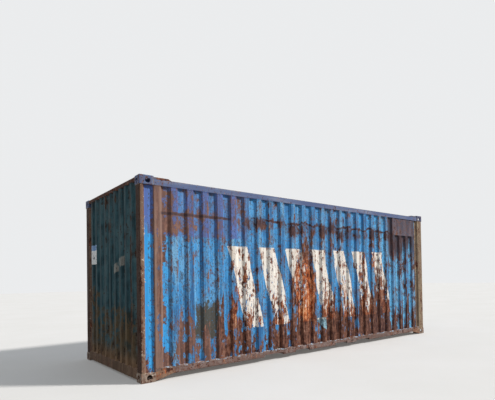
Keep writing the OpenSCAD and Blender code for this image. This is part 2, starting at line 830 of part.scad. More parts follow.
// Cam: a hub round the bar with a nose, hollowed to hook behind the keeper's post
module cam() {
    linear_extrude(cam_t) difference() {
        union() {
            circle(d = bar_d + 2 * cam_wall);
            translate([0, cam_reach / 2 + nose_w / 4]) rotate(90)
                stadium(cam_reach + nose_w / 2, nose_w);
        }
        translate([post_off, cam_reach]) circle(d = catch_post_d + 2 * cam_fit);
    }
}

// Locking bar: a tube with a cam at each end
module locking_bar(i) {
    color("gray") at_door_end() {
        translate([bar_x, bar_ys[i], 0]) difference() {
            translate([0, 0, bar_z0]) cylinder(d = bar_d, h = bar_z1 - bar_z0);
            translate([0, 0, bar_z0 + cam_t])
                cylinder(d = bar_d - 2 * bar_wall, h = bar_z1 - bar_z0 - 2 * cam_t);
        }
        for (z = [bar_z0, bar_z1 - cam_t]) at_bar(bar_ys[i], z) cam();
    }
}

// Guides that hold the bars to the leaves: a sleeve on a foot plate
module bar_brackets() {
    sleeve_d = bar_d + 2 * sleeve_wall;
    color("gray") at_door_end() for (y = bar_ys, z = guide_zs) at_bar(y, z) difference() {
        union() {
            cylinder(d = sleeve_d, h = guide_h, center = true);
            translate([0, -sleeve_d / 2, -guide_h / 2]) cube([bar_to_face, sleeve_d, guide_h]);
            translate([0, -guide_foot_w / 2, -guide_foot_h / 2])
                along_x(bar_to_face - foot_t, bar_to_face)
                    rounded_rect(guide_foot_w, guide_foot_h, fold_r);
        }
        cylinder(d = bar_d + 2 * bar_fit, h = guide_foot_h, center = true);
        translate([bar_to_face, -guide_foot_w, -guide_foot_h]) cube(2 * guide_foot_w);
    }
}

// Keepers on the sill and the header: a foot, two jaws and a post for the cam
module cam_keepers() {
    hub_r = bar_d / 2 + cam_wall;
    jaw_y0 = max(cam_reach - jaw_w / 2, hub_r + bar_fit);
    foot_y0 = sqrt(pow(hub_r, 2) - pow(min(hub_r, bar_to_face - foot_t), 2)) + 2 * cam_fit;
    foot_w = cam_reach + jaw_w - foot_y0;
    color("gray") at_door_end() for (y = bar_ys, z = [sill_keeper_z, header_keeper_z]) at_bar(y, z) {
        translate([0, foot_y0, 0]) along_x(bar_to_face - foot_t, bar_to_face)
            rounded_rect(foot_w, keeper_h, fold_r / 2);
        for (dz = [0, keeper_h - jaw_t]) translate([0, 0, dz]) linear_extrude(jaw_t) {
            translate([0, jaw_y0]) square([bar_to_face, cam_reach + jaw_w / 2 - jaw_y0]);
            intersection() {
                translate([0, cam_reach]) circle(d = jaw_w);
                translate([-jaw_w, jaw_y0]) square([2 * jaw_w, jaw_w]);
            }
        }
        translate([post_off, cam_reach, 0]) cylinder(d = catch_post_d, h = keeper_h);
    }
}

// Height of a bar's lever: the outer ones hang lower
function lever_z(y) = abs(y) > leaf_mid ? handle_z - handle_drop : handle_z;

// Places a piece at a bar, its y towards the middle of the leaf
module at_lever(y) {
    translate([0, y, lever_z(y)])
        mirror([0, y * (leaf_mid - abs(y)) < 0 ? 1 : 0, 0]) children();
}

// Lever on each bar: a hub with a tapered flat bar, its grip bent off the door
module door_handles() {
    grip_r = grip_w / 2;
    color("gray") at_door_end() for (y = bar_ys) at_lever(y) difference() {
        union() {
            translate([bar_x, 0, 0])
                cylinder(d = bar_d + 2 * sleeve_wall, h = handle_h + 2 * fold_r, center = true);
            intersection() {
                translate([0, 0, -handle_h]) linear_extrude(2 * handle_h) mirror([1, 0]) folded([
                    [-lever_x, 0],
                    [-lever_x, lever_run],
                    [grip_off - lever_x, grip_start],
                    [grip_off - lever_x, handle_l]], handle_t, lever_bend_r);
                along_x(-grip_off, bar_x) {
                    polygon([[0, -handle_h / 2], [handle_l - grip_r, -grip_r],
                        [handle_l - grip_r, grip_r], [0, handle_h / 2]]);
                    translate([handle_l - grip_r, 0]) circle(grip_r);
                }
            }
        }
        translate([bar_x, 0, 0])
            cylinder(d = bar_d + 2 * bar_fit, h = 2 * handle_h + 2 * fold_r, center = true);
    }
}

// Hooks in the middle of the leaves that the levers rest in, each on a foot plate
module handle_catches() {
    at = door_rib_span / 2;
    lever_half = handle_h / 2 - (handle_h - grip_w) / 2 * (at - hook_w / 2) / (handle_l - grip_w / 2);
    shelf_z = -lever_half - hook_fit;
    front_x = lever_x - hook_fit - hook_t;
    foot_h = handle_drop - 2 * fold_r;
    color("gray") at_door_end() for (y = bar_ys) at_lever(y) translate([0, at - hook_w / 2, 0]) {
        along_y(0, hook_w) mirror([0, 1]) folded([
            [door_face, -shelf_z + hook_t], [front_x, -shelf_z + hook_t], [front_x, 0]],
            hook_t, hook_t + hook_fit);
        translate([0, 0, -foot_h / 2]) along_x(door_face - foot_t, door_face)
            rounded_rect(hook_w, foot_h, fold_r);
    }
}

bottom_fitting(-1, -1);  // bottom_fitting_front_left
bottom_fitting(-1, 1);  // bottom_fitting_front_right
bottom_fitting(1, -1);  // bottom_fitting_rear_left
bottom_fitting(1, 1);  // bottom_fitting_rear_right
top_fitting(-1, -1);  // top_fitting_front_left
top_fitting(-1, 1);  // top_fitting_front_right
top_fitting(1, -1);  // top_fitting_rear_left
top_fitting(1, 1);  // top_fitting_rear_right
front_post(-1);  // front_post_left
front_post(1);  // front_post_right
rear_post(-1);  // rear_post_left
rear_post(1);  // rear_post_right
front_sill();
front_header();
rear_sill();
rear_header();
bottom_rail_left();
bottom_rail_right();
top_rail(-1);  // top_rail_left
top_rail(1);  // top_rail_right
rail_gussets();
cross_members();
fork_pockets();
floor_boards();
front_wall();
side_wall_left();
side_wall_right();
roof_panel();
roof_corner_plates();
marking_panels();
door_frame(-1);  // door_frame_left
door_frame(1);  // door_frame_right
door_panel(-1);  // door_panel_left
door_panel(1);  // door_panel_right
door_gaskets();
hinge_lugs();
hinge_blades();
locking_bar(0);  // locking_bar_1
locking_bar(1);  // locking_bar_2
locking_bar(2);  // locking_bar_3
locking_bar(3);  // locking_bar_4
bar_brackets();
cam_keepers();
door_handles();
handle_catches();
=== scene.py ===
"""Looks of a weathered twenty-foot freight container, built round its fixed frame.

Everything is in metres. +X runs to the door end, +Z is up, and the left long
side, at -Y, faces the camera together with the blind front wall at -X.
"""

from __future__ import annotations

import logging
import math
from dataclasses import dataclass, field, replace
from enum import Enum
from typing import Protocol, Sequence, Union

import bmesh
import bpy
from mathutils import Matrix, Vector


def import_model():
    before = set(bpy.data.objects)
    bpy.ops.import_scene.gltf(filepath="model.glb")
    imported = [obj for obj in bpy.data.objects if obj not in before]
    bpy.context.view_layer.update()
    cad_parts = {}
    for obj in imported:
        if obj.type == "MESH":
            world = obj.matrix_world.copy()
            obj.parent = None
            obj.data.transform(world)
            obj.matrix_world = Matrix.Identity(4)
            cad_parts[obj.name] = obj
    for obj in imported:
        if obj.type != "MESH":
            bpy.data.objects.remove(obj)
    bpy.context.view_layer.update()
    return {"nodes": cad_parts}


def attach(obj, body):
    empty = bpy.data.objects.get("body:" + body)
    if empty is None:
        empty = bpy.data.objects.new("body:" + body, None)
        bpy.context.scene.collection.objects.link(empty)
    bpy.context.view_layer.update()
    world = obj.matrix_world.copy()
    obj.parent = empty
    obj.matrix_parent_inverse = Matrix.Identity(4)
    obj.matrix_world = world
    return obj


log = logging.getLogger("container")

ROOT = "root"

# sockets of a Mix node that hold colours
MIX_UNDER, MIX_OVER, MIX_RESULT = 6, 7, 2

Colour = tuple[float, float, float, float]
Point = tuple[float, float, float]
Span = tuple[float, float]
Amount = Union["Signal", float]
Tint = Union["Signal", Colour]


def srgb(code: str) -> Colour:
    """Linear colour of a hex code.

    Args:
        code: Six hex digits, such as "2f6ea3".

    Returns:
        Red, green, blue and alpha in scene-linear values.
    """
    parts = [int(code[i : i + 2], 16) / 255 for i in (0, 2, 4)]
    linear = [p / 12.92 if p <= 0.04045 else ((p + 0.055) / 1.055) ** 2.4 for p in parts]
    return (*linear, 1.0)


def shades(*codes: str) -> tuple[Colour, ...]:
    """Linear colours of several hex codes."""
    return tuple(srgb(code) for code in codes)


class Op(Enum):
    """Arithmetic that a Math node does."""

    ADD = "ADD"
    SUBTRACT = "SUBTRACT"
    MULTIPLY = "MULTIPLY"
    MAXIMUM = "MAXIMUM"
    ABSOLUTE = "ABSOLUTE"
    FRACTION = "FRACT"
    FLOOR = "FLOOR"


@dataclass(frozen=True)
class Grain:
    """Pattern of a noise.

    The scale is in cycles a metre along X, Y and Z, detail counts the octaves, rough
    weighs the finer ones, and shift moves the pattern, so that two noises differ.
    """

    scale: Point
    detail: float = 5.0
    rough: float = 0.6
    shift: Point = (0.0, 0.0, 0.0)

    def finer(self, times: float) -> Grain:
        """The same pattern, so many times as fine."""
        return replace(self, scale=tuple(times * part for part in self.scale))


class Signal:
    """A number or a colour on its way through a material's nodes."""

    def __init__(self, bench: Bench, socket: bpy.types.NodeSocket) -> None:
        """Ties an output socket to its bench.

        Args:
            bench: Bench that wires the material.
            socket: Output that gives the value.
        """
        self.bench = bench
        self.socket = socket

    def __add__(self, other: Amount) -> Signal:
        """Sum of two values."""
        return self.bench.math(Op.ADD, self, other)

    def __sub__(self, other: Amount) -> Signal:
        """Difference of two values."""
        return self.bench.math(Op.SUBTRACT, self, other)

    def __rsub__(self, other: float) -> Signal:
        """A number less this value."""
        return self.bench.math(Op.SUBTRACT, other, self)

    def __mul__(self, other: Amount) -> Signal:
        """Product of two values."""
        return self.bench.math(Op.MULTIPLY, self, other)

    def __or__(self, other: Amount) -> Signal:
        """Larger of two values."""
        return self.bench.math(Op.MAXIMUM, self, other)

    def __abs__(self) -> Signal:
        """Size without the sign."""
        return self.bench.math(Op.ABSOLUTE, self)

    __radd__ = __add__

    def floor(self) -> Signal:
        """Whole number below."""
        return self.bench.math(Op.FLOOR, self)

    def fraction(self) -> Signal:
        """Part above the whole number below."""
        return self.bench.math(Op.FRACTION, self)

    def step(self, low: float, high: float) -> Signal:
        """Smooth step over this value.

        Args:
            low: Where the step is 0; it may be the larger of the two.
            high: Where the step is 1.

        Returns:
            The step.
        """
        made = self.bench.add("ShaderNodeMapRange", interpolation_type="SMOOTHSTEP")
        self.bench.feed(made.inputs["Value"], self)
        made.inputs["From Min"].default_value = min(low, high)
        made.inputs["From Max"].default_value = max(low, high)
        made.inputs["To Min"].default_value = 0.0 if low < high else 1.0
        made.inputs["To Max"].default_value = 1.0 if low < high else 0.0
        return Signal(self.bench, made.outputs[0])

    def within(self, low: float, high: float, soft: float) -> Signal:
        """1 between two values, fading over a soft margin."""
        return self.step(low - soft, low + soft) * self.step(high + soft, high - soft)

    def ramp(self, *stops: tuple[float, Colour]) -> Signal:
        """Colour that runs through stops as this value rises.

        Args:
            stops: Value and colour of each stop, in rising order.

        Returns:
            The colour.
        """
        made = self.bench.add("ShaderNodeValToRGB")
        self.bench.feed(made.inputs[0], self)
        band = made.color_ramp
        while len(band.elements) < len(stops):
            band.elements.new(0.5)
        for element, (at, colour) in zip(band.elements, stops):
            element.position = at
            element.color = colour
        return Signal(self.bench, made.outputs[0])

    def profile(self, points: Sequence[Span]) -> Signal:
        """Height that runs through points as this value rises.

        Args:
            points: Value and height of each point, in rising order.

        Returns:
            The height.
        """
        low, high = points[0][0], points[-1][0]
        top = max(height for _, height in points)
        along = (self - low) * (1 / (high - low))
        stops = [
            ((at - low) / (high - low), (height / top, height / top, height / top, 1.0))
            for at, height in points
        ]
        return along.ramp(*stops) * top

    def coat(self, over: Tint, share: Amount) -> Signal:
        """This colour with a share of another laid over it."""
        return self.bench.mix(share, self, over)


class Bench:
    """Wires the nodes of one material."""

    def __init__(self, name: str) -> None:
        """Starts an empty material with the object's own coordinates.

        Args:
            name: Name of the material.
        """
        self.material = bpy.data.materials.new(name)
        self.material.use_nodes = True
        self.tree = self.material.node_tree
        self.tree.nodes.clear()
        self.place = self.add("ShaderNodeTexCoord").outputs["Object"]
        split = self.add("ShaderNodeSeparateXYZ")
        self.tree.links.new(self.place, split.inputs[0])
        self.x, self.y, self.z = (Signal(self, output) for output in split.outputs)

    def add(self, kind: str, **settings: object) -> bpy.types.Node:
        """Adds a node.

        Args:
            kind: Type of the node.
            settings: Plain properties of the node.

        Returns:
            The node.
        """
        made = self.tree.nodes.new(kind)
        for key, value in settings.items():
            setattr(made, key, value)
        return made

    def feed(self, socket: bpy.types.NodeSocket, value: Union[Amount, Tint]) -> None:
        """Links an input to a signal, or sets its own value.

        Args:
            socket: Input of a node.
            value: What goes in.
        """
        if isinstance(value, Signal):
            self.tree.links.new(value.socket, socket)
        else:
            socket.default_value = value

    def math(self, op: Op, a: Amount, b: Amount = 0.0) -> Signal:
        """Wires one Math node.

        Args:
            op: What the node does.
            a: First input.
            b: Second input, where the node has one.

        Returns:
            The result.
        """
        made = self.add("ShaderNodeMath", operation=op.value)
        self.feed(made.inputs[0], a)
        self.feed(made.inputs[1], b)
        return Signal(self, made.outputs[0])

    def mix(self, share: Amount, under: Tint, over: Tint) -> Signal:
        """Mixes two colours.

        Args:
            share: Share of the second colour.
            under: First colour.
            over: Second colour.

        Returns:
            The mixed colour.
        """
        made = self.add("ShaderNodeMix", data_type="RGBA")
        self.feed(made.inputs[0], share)
        self.feed(made.inputs[MIX_UNDER], under)
        self.feed(made.inputs[MIX_OVER], over)
        return Signal(self, made.outputs[MIX_RESULT])

    def noise(self, grain: Grain) -> Signal:
        """Noise on the object's coordinates.

        Args:
            grain: Pattern of the noise.

        Returns:
            The noise, about 0.5 on average.
        """
        mapping = self.add("ShaderNodeMapping")
        self.tree.links.new(self.place, mapping.inputs["Vector"])
        mapping.inputs["Scale"].default_value = grain.scale
        mapping.inputs["Location"].default_value = grain.shift
        made = self.add("ShaderNodeTexNoise")
        self.tree.links.new(mapping.outputs[0], made.inputs["Vector"])
        made.inputs["Scale"].default_value = 1.0
        made.inputs["Detail"].default_value = grain.detail
        made.inputs["Roughness"].default_value = grain.rough
        return Signal(self, made.outputs[0])

    def draw(self, number: Signal, seed: float) -> Signal:
        """Fixed random value from 0 to 1 for each whole number.

        Args:
            number: Whole numbers.
            seed: Number that sets this draw apart from others.

        Returns:
            The random value.
        """
        made = self.add("ShaderNodeTexWhiteNoise", noise_dimensions="1D")
        self.feed(made.inputs["W"], number + seed)
        return Signal(self, made.outputs["Value"])

    def finish(
        self,
        colour: Tint,
        rough: Amount,
        height: Signal,
        relief: float,
        metallic: Amount = 0.0,
        specular: float = 0.2,
    ) -> bpy.types.Material:
        """Ends the material in a Principled shader with a bump.

        Args:
            colour: Base colour, fixed or from nodes.
            rough: Roughness, fixed or from nodes.
            height: Height field from 0 to 1.
            relief: Height in metres that a field value of 1 stands for.
            metallic: Metallic share.
            specular: Specular level.

        Returns:
            The finished material.
        """
        bump = self.add("ShaderNodeBump")
        bump.inputs["Strength"].default_value = 1.0
        bump.inputs["Distance"].default_value = relief
        self.feed(bump.inputs["Height"], height)
        shader = self.add("ShaderNodeBsdfPrincipled")
        self.feed(shader.inputs["Base Color"], colour)
        self.feed(shader.inputs["Roughness"], rough)
        self.feed(shader.inputs["Metallic"], metallic)
        shader.inputs["Specular IOR Level"].default_value = specular
        self.tree.links.new(bump.outputs[0], shader.inputs["Normal"])
        output = self.add("ShaderNodeOutputMaterial")
        self.tree.links.new(shader.outputs[0], output.inputs["Surface"])
        return self.material


class Finish(Protocol):
    """Anything that can build a material."""

    name: str

    def build(self) -> bpy.types.Material:
        """Builds the material."""


class Along(Enum):
    """Direction in which a wall's ribs follow one another."""

    LENGTH = 0
    WIDTH = 1

    def split(self, bench: Bench) -> tuple[Signal, Signal]:
        """Coordinates along a wall and across it."""
        return (bench.x, bench.y) if self is Along.LENGTH else (bench.y, bench.x)


@dataclass(frozen=True)
class RibPattern:
    """Corrugations of a wall, counted from the first rib."""

    along: Along
    start: float
    sense: int
    pitch: float
    count: int
    face: float
    gap: float
    flat: float = 0.076
    slope: float = 0.038
    depth: float = 0.036

    def turns(self, bench: Bench) -> Signal:
        """Ribs counted along the wall; whole numbers are where outer flats start."""
        here, _ = self.along.split(bench)
        return (here - self.start) * (self.sense / self.pitch)

    def number(self, bench: Bench) -> Signal:
        """Whole number of the rib, kept over the recess after it."""
        return (self.turns(bench) + self.slope / self.pitch).floor()

    def recess_number(self, bench: Bench) -> Signal:
        """Whole number of the recess, kept over the rib after it."""
        return (self.turns(bench) - self.flat / self.pitch).floor()

    def inset(self, bench: Bench) -> Signal:
        """Depth behind the outer flats, as a share of the full depth."""
        _, across = self.along.split(bench)
        return (self.face - abs(across)) * (1 / self.depth)

    def edges(self, bench: Bench, reach: float) -> Signal:
        """Marks both corners of each rib.

        Args:
            bench: Bench of the material.
            reach: Distance over which the mark fades.

        Returns:
            1 on the corners, 0 away from them.
        """
        first = 0.25  # a quarter turn on, so that no corner lies where the count jumps
        phase = (self.turns(bench) + first).fraction()
        width = reach / self.pitch
        near = abs(phase - first).step(width, 0.0)
        far = abs(phase - (first + self.flat / self.pitch)).step(width, 0.0)
        return near | far

    def corners(self) -> list[Span]:
        """Corners of the wall's outer line.

        Returns:
            Place along the wall and depth of each corner, in rising places.
        """
        line = [(self.start - self.sense * (self.slope + self.gap), self.depth)]
        for k in range(self.count):
            at = self.start + self.sense * k * self.pitch
            line += [
                (at - self.sense * self.slope, self.depth),
                (at, 0.0),
                (at + self.sense * self.flat, 0.0),
                (at + self.sense * (self.flat + self.slope), self.depth),
            ]
        line.append((line[-1][0] + self.sense * self.gap, self.depth))
        return sorted(line)

    def line(self, side: int, z: float, span: Span, proud: float = 0.0) -> list[Point]:
        """Points of the wall's outer line between two places along it.

        Args:
            side: -1 or 1, the sign of the coordinate that the wall faces.
            z: Height of the points.
            span: Lowest and highest place along the wall.
            proud: Distance that the points stand off the sheet.

        Returns:
            The points, in rising places.
        """
        corners = self.corners()
        ends = []
        for limit in span:
            for (a, da), (b, db) in zip(corners, corners[1:]):
                if a <= limit <= b:
                    ends.append((limit, da + (db - da) * (limit - a) / (b - a)))
                    break
        kept = [ends[0], *[c for c in corners if span[0] < c[0] < span[1]], ends[1]]
        points = [(at, side * (self.face - depth + proud), z) for at, depth in kept]
        if self.along is Along.LENGTH:
            return points
        return [(across, at, height) for at, across, height in points]


LONG_RIBS = RibPattern(
    Along.LENGTH, start=-2.848, sense=1, pitch=0.22, count=26, face=1.213, gap=0.034
)
FRONT_RIBS = RibPattern(
    Along.WIDTH, start=0.926, sense=-1, pitch=0.222, count=9, face=3.023, gap=0.036
)


@dataclass(frozen=True)
class Patch:
    """A soft upright oval on a wall, where something is stronger or weaker."""

    at: float
    z: float
    half_w: float
    half_h: float
    weight: float

    def field(self, here: Signal, z: Signal) -> Signal:
        """The patch's weight at each point, fading to 0 at its rim.

        Args:
            here: Coordinate along the wall.
            z: Height.

        Returns:
            The weight.
        """
        dx = (here - self.at) * (1 / self.half_w)
        dz = (z - self.z) * (1 / self.half_h)
        return (dx * dx + dz * dz).step(1.0, 0.1) * self.weight


def spots(patches: Sequence[Patch], here: Signal, z: Signal) -> Amount:
    """Sum of the weights of several patches, or 0 where there are none."""
    return sum(patch.field(here, z) for patch in patches)


@dataclass(frozen=True)
class RustTones:
    """Colours of rust, from old and dark to fresh and orange."""

    dark: Colour = srgb("3a2622")
    brown: Colour = srgb("694539")
    tan: Colour = srgb("865f4f")
    scale: Colour = srgb("b3907d")
    pale: Colour = srgb("a3897a")
    ember: Colour = srgb("92472a")
    orange: Colour = srgb("cf7038")
    peach: Colour = srgb("e8b890")
    blots: Grain = Grain((26, 26, 15), 8, 0.78, (3, 1, 7))
    runs: Grain = Grain((48, 48, 3), 4, 0.6, (8, 2, 2))

    def colour(self, bench: Bench, fresh: Amount) -> Signal:
        """Mottled rust.

        Args:
            bench: Bench of the material.
            fresh: Share of fresh orange rust.

        Returns:
            The rust's colour.
        """
        mottle = bench.noise(self.blots) * 0.6 + bench.noise(self.runs) * 0.4
        old = mottle.ramp(
            (0.44, self.dark), (0.5, self.brown), (0.57, self.tan), (0.63, self.scale)
        )
        glow = mottle.ramp(
            (0.43, self.dark), (0.48, self.ember), (0.53, self.orange), (0.58, self.peach)
        )
        return old.coat(glow, fresh)


@dataclass(frozen=True)
class LongWallPaint:
    """Faded blue paint with a worn row of plain slanted bars, eaten by rust."""

    name: str = "long_wall_paint"
    ribs: RibPattern = LONG_RIBS
    rust: RustTones = RustTones()
    relief: float = 0.0014

    deep: Colour = srgb("33679b")
    mid: Colour = srgb("4690c9")
    chalky: Colour = srgb("78add4")
    bright: Colour = srgb("40aaee")
    cyan: Colour = srgb("6cbdea")
    lavender: Colour = srgb("5a6bb2")
    violet: Colour = srgb("5d5c78")
    grime: Colour = srgb("444d5c")
    olive: Colour = srgb("4c4433")
    mauve: Colour = srgb("8c7069")
    soot: Colour = srgb("3e3640")
    white: Colour = srgb("f3ede4")
    cream: Colour = srgb("d0c2b4")

    # upright streaks, flakes, clouds, and what they are broken up by
    streaks: Grain = Grain((15, 15, 0.8), 6)
    flakes: Grain = Grain((13, 13, 8), 11, 0.66, (5, 2, 1))
    blotches: Grain = Grain((3.4, 3.4, 1.8), 4, 0.55, (1, 7, 3))
    columns: Grain = Grain((15, 15, 3.5), 8, 0.66, (6, 1, 1))
    wander: Grain = Grain((7, 7, 2), shift=(1, 3, 3))
    notches: Grain = Grain((2, 2, 7), 4, shift=(3, 8, 2))
    isles: Grain = Grain((11, 11, 6), shift=(5, 5, 8))
    fades: Grain = Grain((6, 6, 1.6), 6, 0.6, (7, 3, 5))
    hairs: Grain = Grain((75, 75, 2), 4, 0.6, (2, 5, 5))
    clouds: Grain = Grain((9, 9, 6), 9, 0.72, (9, 9, 3))
    flecks: Grain = Grain((60, 60, 34), 5, 0.6, (7, 1, 9))
    specks: Grain = Grain((42, 42, 26), 5, 0.65, (2, 6, 3))
    chips: Grain = Grain((22, 22, 9), 9, 0.75, (2, 8, 4))
    drips: Grain = Grain((38, 38, 2.2), 5, 0.6, (5, 9, 1))
    nicks: Grain = Grain((60, 60, 60), 3, shift=(9, 4, 2))
    embers: Grain = Grain((20, 20, 6), 6, shift=(4, 4, 9))
    threads: Grain = Grain((34, 34, 0.9), 4)
    grit: Grain = Grain((120, 120, 120), 4, 0.7)

    # places along the wall and heights
    bars_x: float = -1.79
    bars_z: Span = (0.54, 1.745)
    bars_pitch: float = 0.52
    bars_count: int = 7
    bars_share: float = 0.6
    bars_slant: float = 0.24
    first_rib: Span = (-2.856, -2.742)
    first_recess: Span = (-2.77, -2.7)
    islands_x: Span = (-2.9, -1.0)
    corner_x: Span = (-2.88, -2.9)
    aged_x: Span = (-1.4, -1.62)
    aged_z: Span = (1.92, 1.935)
    repaint_x: Span = (-2.31, -1.96)
    repaint_z: Span = (0.46, 0.95)
    row_x: Span = (-1.5, 1.98)
    row_z: float = 2.09
    crack_z: float = 2.27
    scratch_x: Span = (-2.76, -1.76)
    scratch_z: float = 2.135
    soot_x: Span = (1.86, 2.76)
    soot_z: Span = (2.35, 2.6)
    rise: tuple[Span, ...] = (
        (-3.0, 0.36), (-2.7, 0.64), (-2.2, 0.66), (-1.84, 0.66), (-1.74, 0.95), (-1.56, 0.56),
        (-1.1, 0.5), (-0.9, 0.9), (-0.62, 0.66), (-0.4, 1.1), (-0.16, 0.72), (0.1, 0.7),
        (0.38, 1.05), (0.56, 0.66), (0.86, 0.66), (1.02, 1.02), (1.24, 0.78), (1.5, 1.15),
        (1.72, 0.98), (1.9, 0.68), (2.5, 0.7), (2.8, 0.6),
    )
    rust_patches: tuple[Patch, ...] = (
        Patch(-0.38, 1.0, 0.34, 0.9, 0.14),
        Patch(-0.3, 1.8, 0.16, 0.34, 0.06),
        Patch(-1.72, 0.8, 0.16, 0.45, 0.05),
        Patch(1.06, 1.1, 0.12, 0.75, 0.05),
        Patch(1.36, 1.75, 0.12, 0.45, 0.1),
        Patch(1.6, 0.95, 0.26, 0.6, 0.07),
        Patch(2.3, 1.85, 0.5, 0.4, 0.05),
        Patch(2.8, 1.3, 0.07, 1.5, 0.1),
        Patch(2.5, 1.0, 0.26, 0.3, 0.07),
        Patch(2.2, 1.35, 0.5, 0.4, 0.02),
        Patch(-2.3, 2.2, 0.7, 0.5, 0.02),
        Patch(-2.55, 1.98, 0.3, 0.2, 0.04),
        Patch(-2.2, 1.35, 0.6, 0.6, -0.02),
        Patch(-2.13, 0.74, 0.26, 0.36, -0.07),
        Patch(-2.7, 2.2, 0.18, 0.5, 0.05),
    )
    fresh_patches: tuple[Patch, ...] = (
        Patch(-0.36, 1.08, 0.24, 0.62, 1.2),
        Patch(-2.7, 1.75, 0.2, 0.4, 0.12),
        Patch(-1.7, 0.9, 0.16, 0.4, 0.5),
        Patch(-1.14, 1.0, 0.1, 0.6, 0.6),
        Patch(0.62, 1.0, 0.12, 0.5, 0.3),
        Patch(1.14, 1.4, 0.1, 0.3, 0.5),
        Patch(1.38, 1.5, 0.1, 0.4, 0.5),
        Patch(2.1, 1.72, 0.16, 0.16, 0.5),
    )

    # how far the eating has come where steel shows bare and where the bars chip, and
    # how much further it goes over the rim of a bare place
    bare_from: float = 0.575
    pits_from: float = 0.86
    chip_from: float = 0.525
    rim: float = 0.012

    def bars(self, bench: Bench) -> Signal:
        """Mask of the plain slanted bars.

        Args:
            bench: Bench of the material.

        Returns:
            1 on the bars, 0 between them.
        """
        lean = (bench.z - self.bars_z[1]) * self.bars_slant
        along = (bench.x + lean - self.bars_x) * (1 / self.bars_pitch)
        along += bench.noise(self.nicks) * 0.04
        return (
            along.fraction().step(self.bars_share, self.bars_share - self.rim)
            * along.within(0.0, self.bars_count, 0.004)
            * bench.z.within(*self.bars_z, 0.006)
        )

    def low_band(self, bench: Bench, recess: Signal) -> Signal:
        """The rusty band above the bottom rail, whose columns end at ragged heights.

        Args:
            bench: Bench of the material.
            recess: 1 in the recesses, 0 on the ribs.

        Returns:
            1 in the band, 0 above it.
        """
        rib_draw = bench.draw(self.ribs.number(bench), seed=11.0)
        recess_draw = bench.draw(self.ribs.recess_number(bench), seed=57.0)
        draw = rib_draw * (1.0 - recess) + recess_draw * recess
        lowered = bench.x.step(1.75, 2.0) * -0.42 - 0.12
        top = (
            bench.x.profile(self.rise) + draw * 0.4 + recess * lowered
            + bench.noise(self.columns) * 2.4 - 1.4
        )
        return (top - bench.z).step(-0.07, 0.12)

    def row(self, bench: Bench, recess: Signal) -> Signal:
        """The row of blotches below the top rail, and the scratch at its front end.

        Args:
            bench: Bench of the material.
            recess: 1 in the recesses, 0 on the ribs.

        Returns:
            1 on them, 0 elsewhere.
        """
        number = self.ribs.number(bench)
        wander = bench.noise(self.wander) * 0.22
        reach = bench.x.within(*self.row_x, 0.05)
        own_z = bench.draw(number, seed=23.0) * 0.13 + self.row_z
        blotches = (
            abs(bench.z + wander * 0.6 - own_z).step(0.17, 0.0) * reach
            * (1.0 - recess * 0.3) * bench.draw(number, seed=71.0).step(0.0, 0.8)
        )
        crack = abs(bench.z + wander - self.crack_z).step(0.035, 0.006) * reach * 0.85
        scratch = (
            abs(bench.z - self.scratch_z).step(0.03, 0.008)
            * bench.x.within(*self.scratch_x, 0.02)
        )
        return blotches | crack | scratch

    def eaten(
        self, bench: Bench, recess: Signal, row: Signal, flake: Signal, streak: Signal
    ) -> Signal:
        """How far rust has come; steel shows where this passes bare_from.

        Args:
            bench: Bench of the material.
            recess: 1 in the recesses, 0 on the ribs.
            row: 1 in the row of blotches below the top rail.
            flake: Noise of the flaking.
            streak: Noise of the upright streaks.

        Returns:
            The field.
        """
        x, z = bench.x, bench.z
        tongues = (
            x.within(*self.first_recess, 0.025) * bench.noise(self.notches).step(0.5, 0.56)
        )
        islands = (
            bench.noise(self.isles).step(0.52, 0.58) * x.within(*self.islands_x, 0.2)
            * z.step(0.62, 0.5)
        )
        return (
            flake * 0.5 + streak * 0.2 + bench.noise(self.blotches) * 0.3
            + self.low_band(bench, recess) * 0.15 + self.ribs.edges(bench, reach=0.024) * 0.05
            + row * 0.12 + x.within(*self.first_rib, 0.01) * 0.11 + tongues * 0.16
            - islands * 0.15 - x.step(*self.corner_x) * 0.12 + spots(self.rust_patches, x, z)
        )

    def aged(self, bench: Bench) -> Signal:
        """1 in the upper front part, whose paint and rust are duller."""
        ragged = bench.noise(self.clouds) * 0.16
        return bench.x.step(*self.aged_x) * (bench.z + ragged).step(*self.aged_z)

    def sooty(self, bench: Bench, streak: Signal) -> Signal:
        """1 where soot hangs down from the marking panel."""
        return bench.x.within(*self.soot_x, 0.1) * (bench.z + streak * 1.4).step(*self.soot_z)

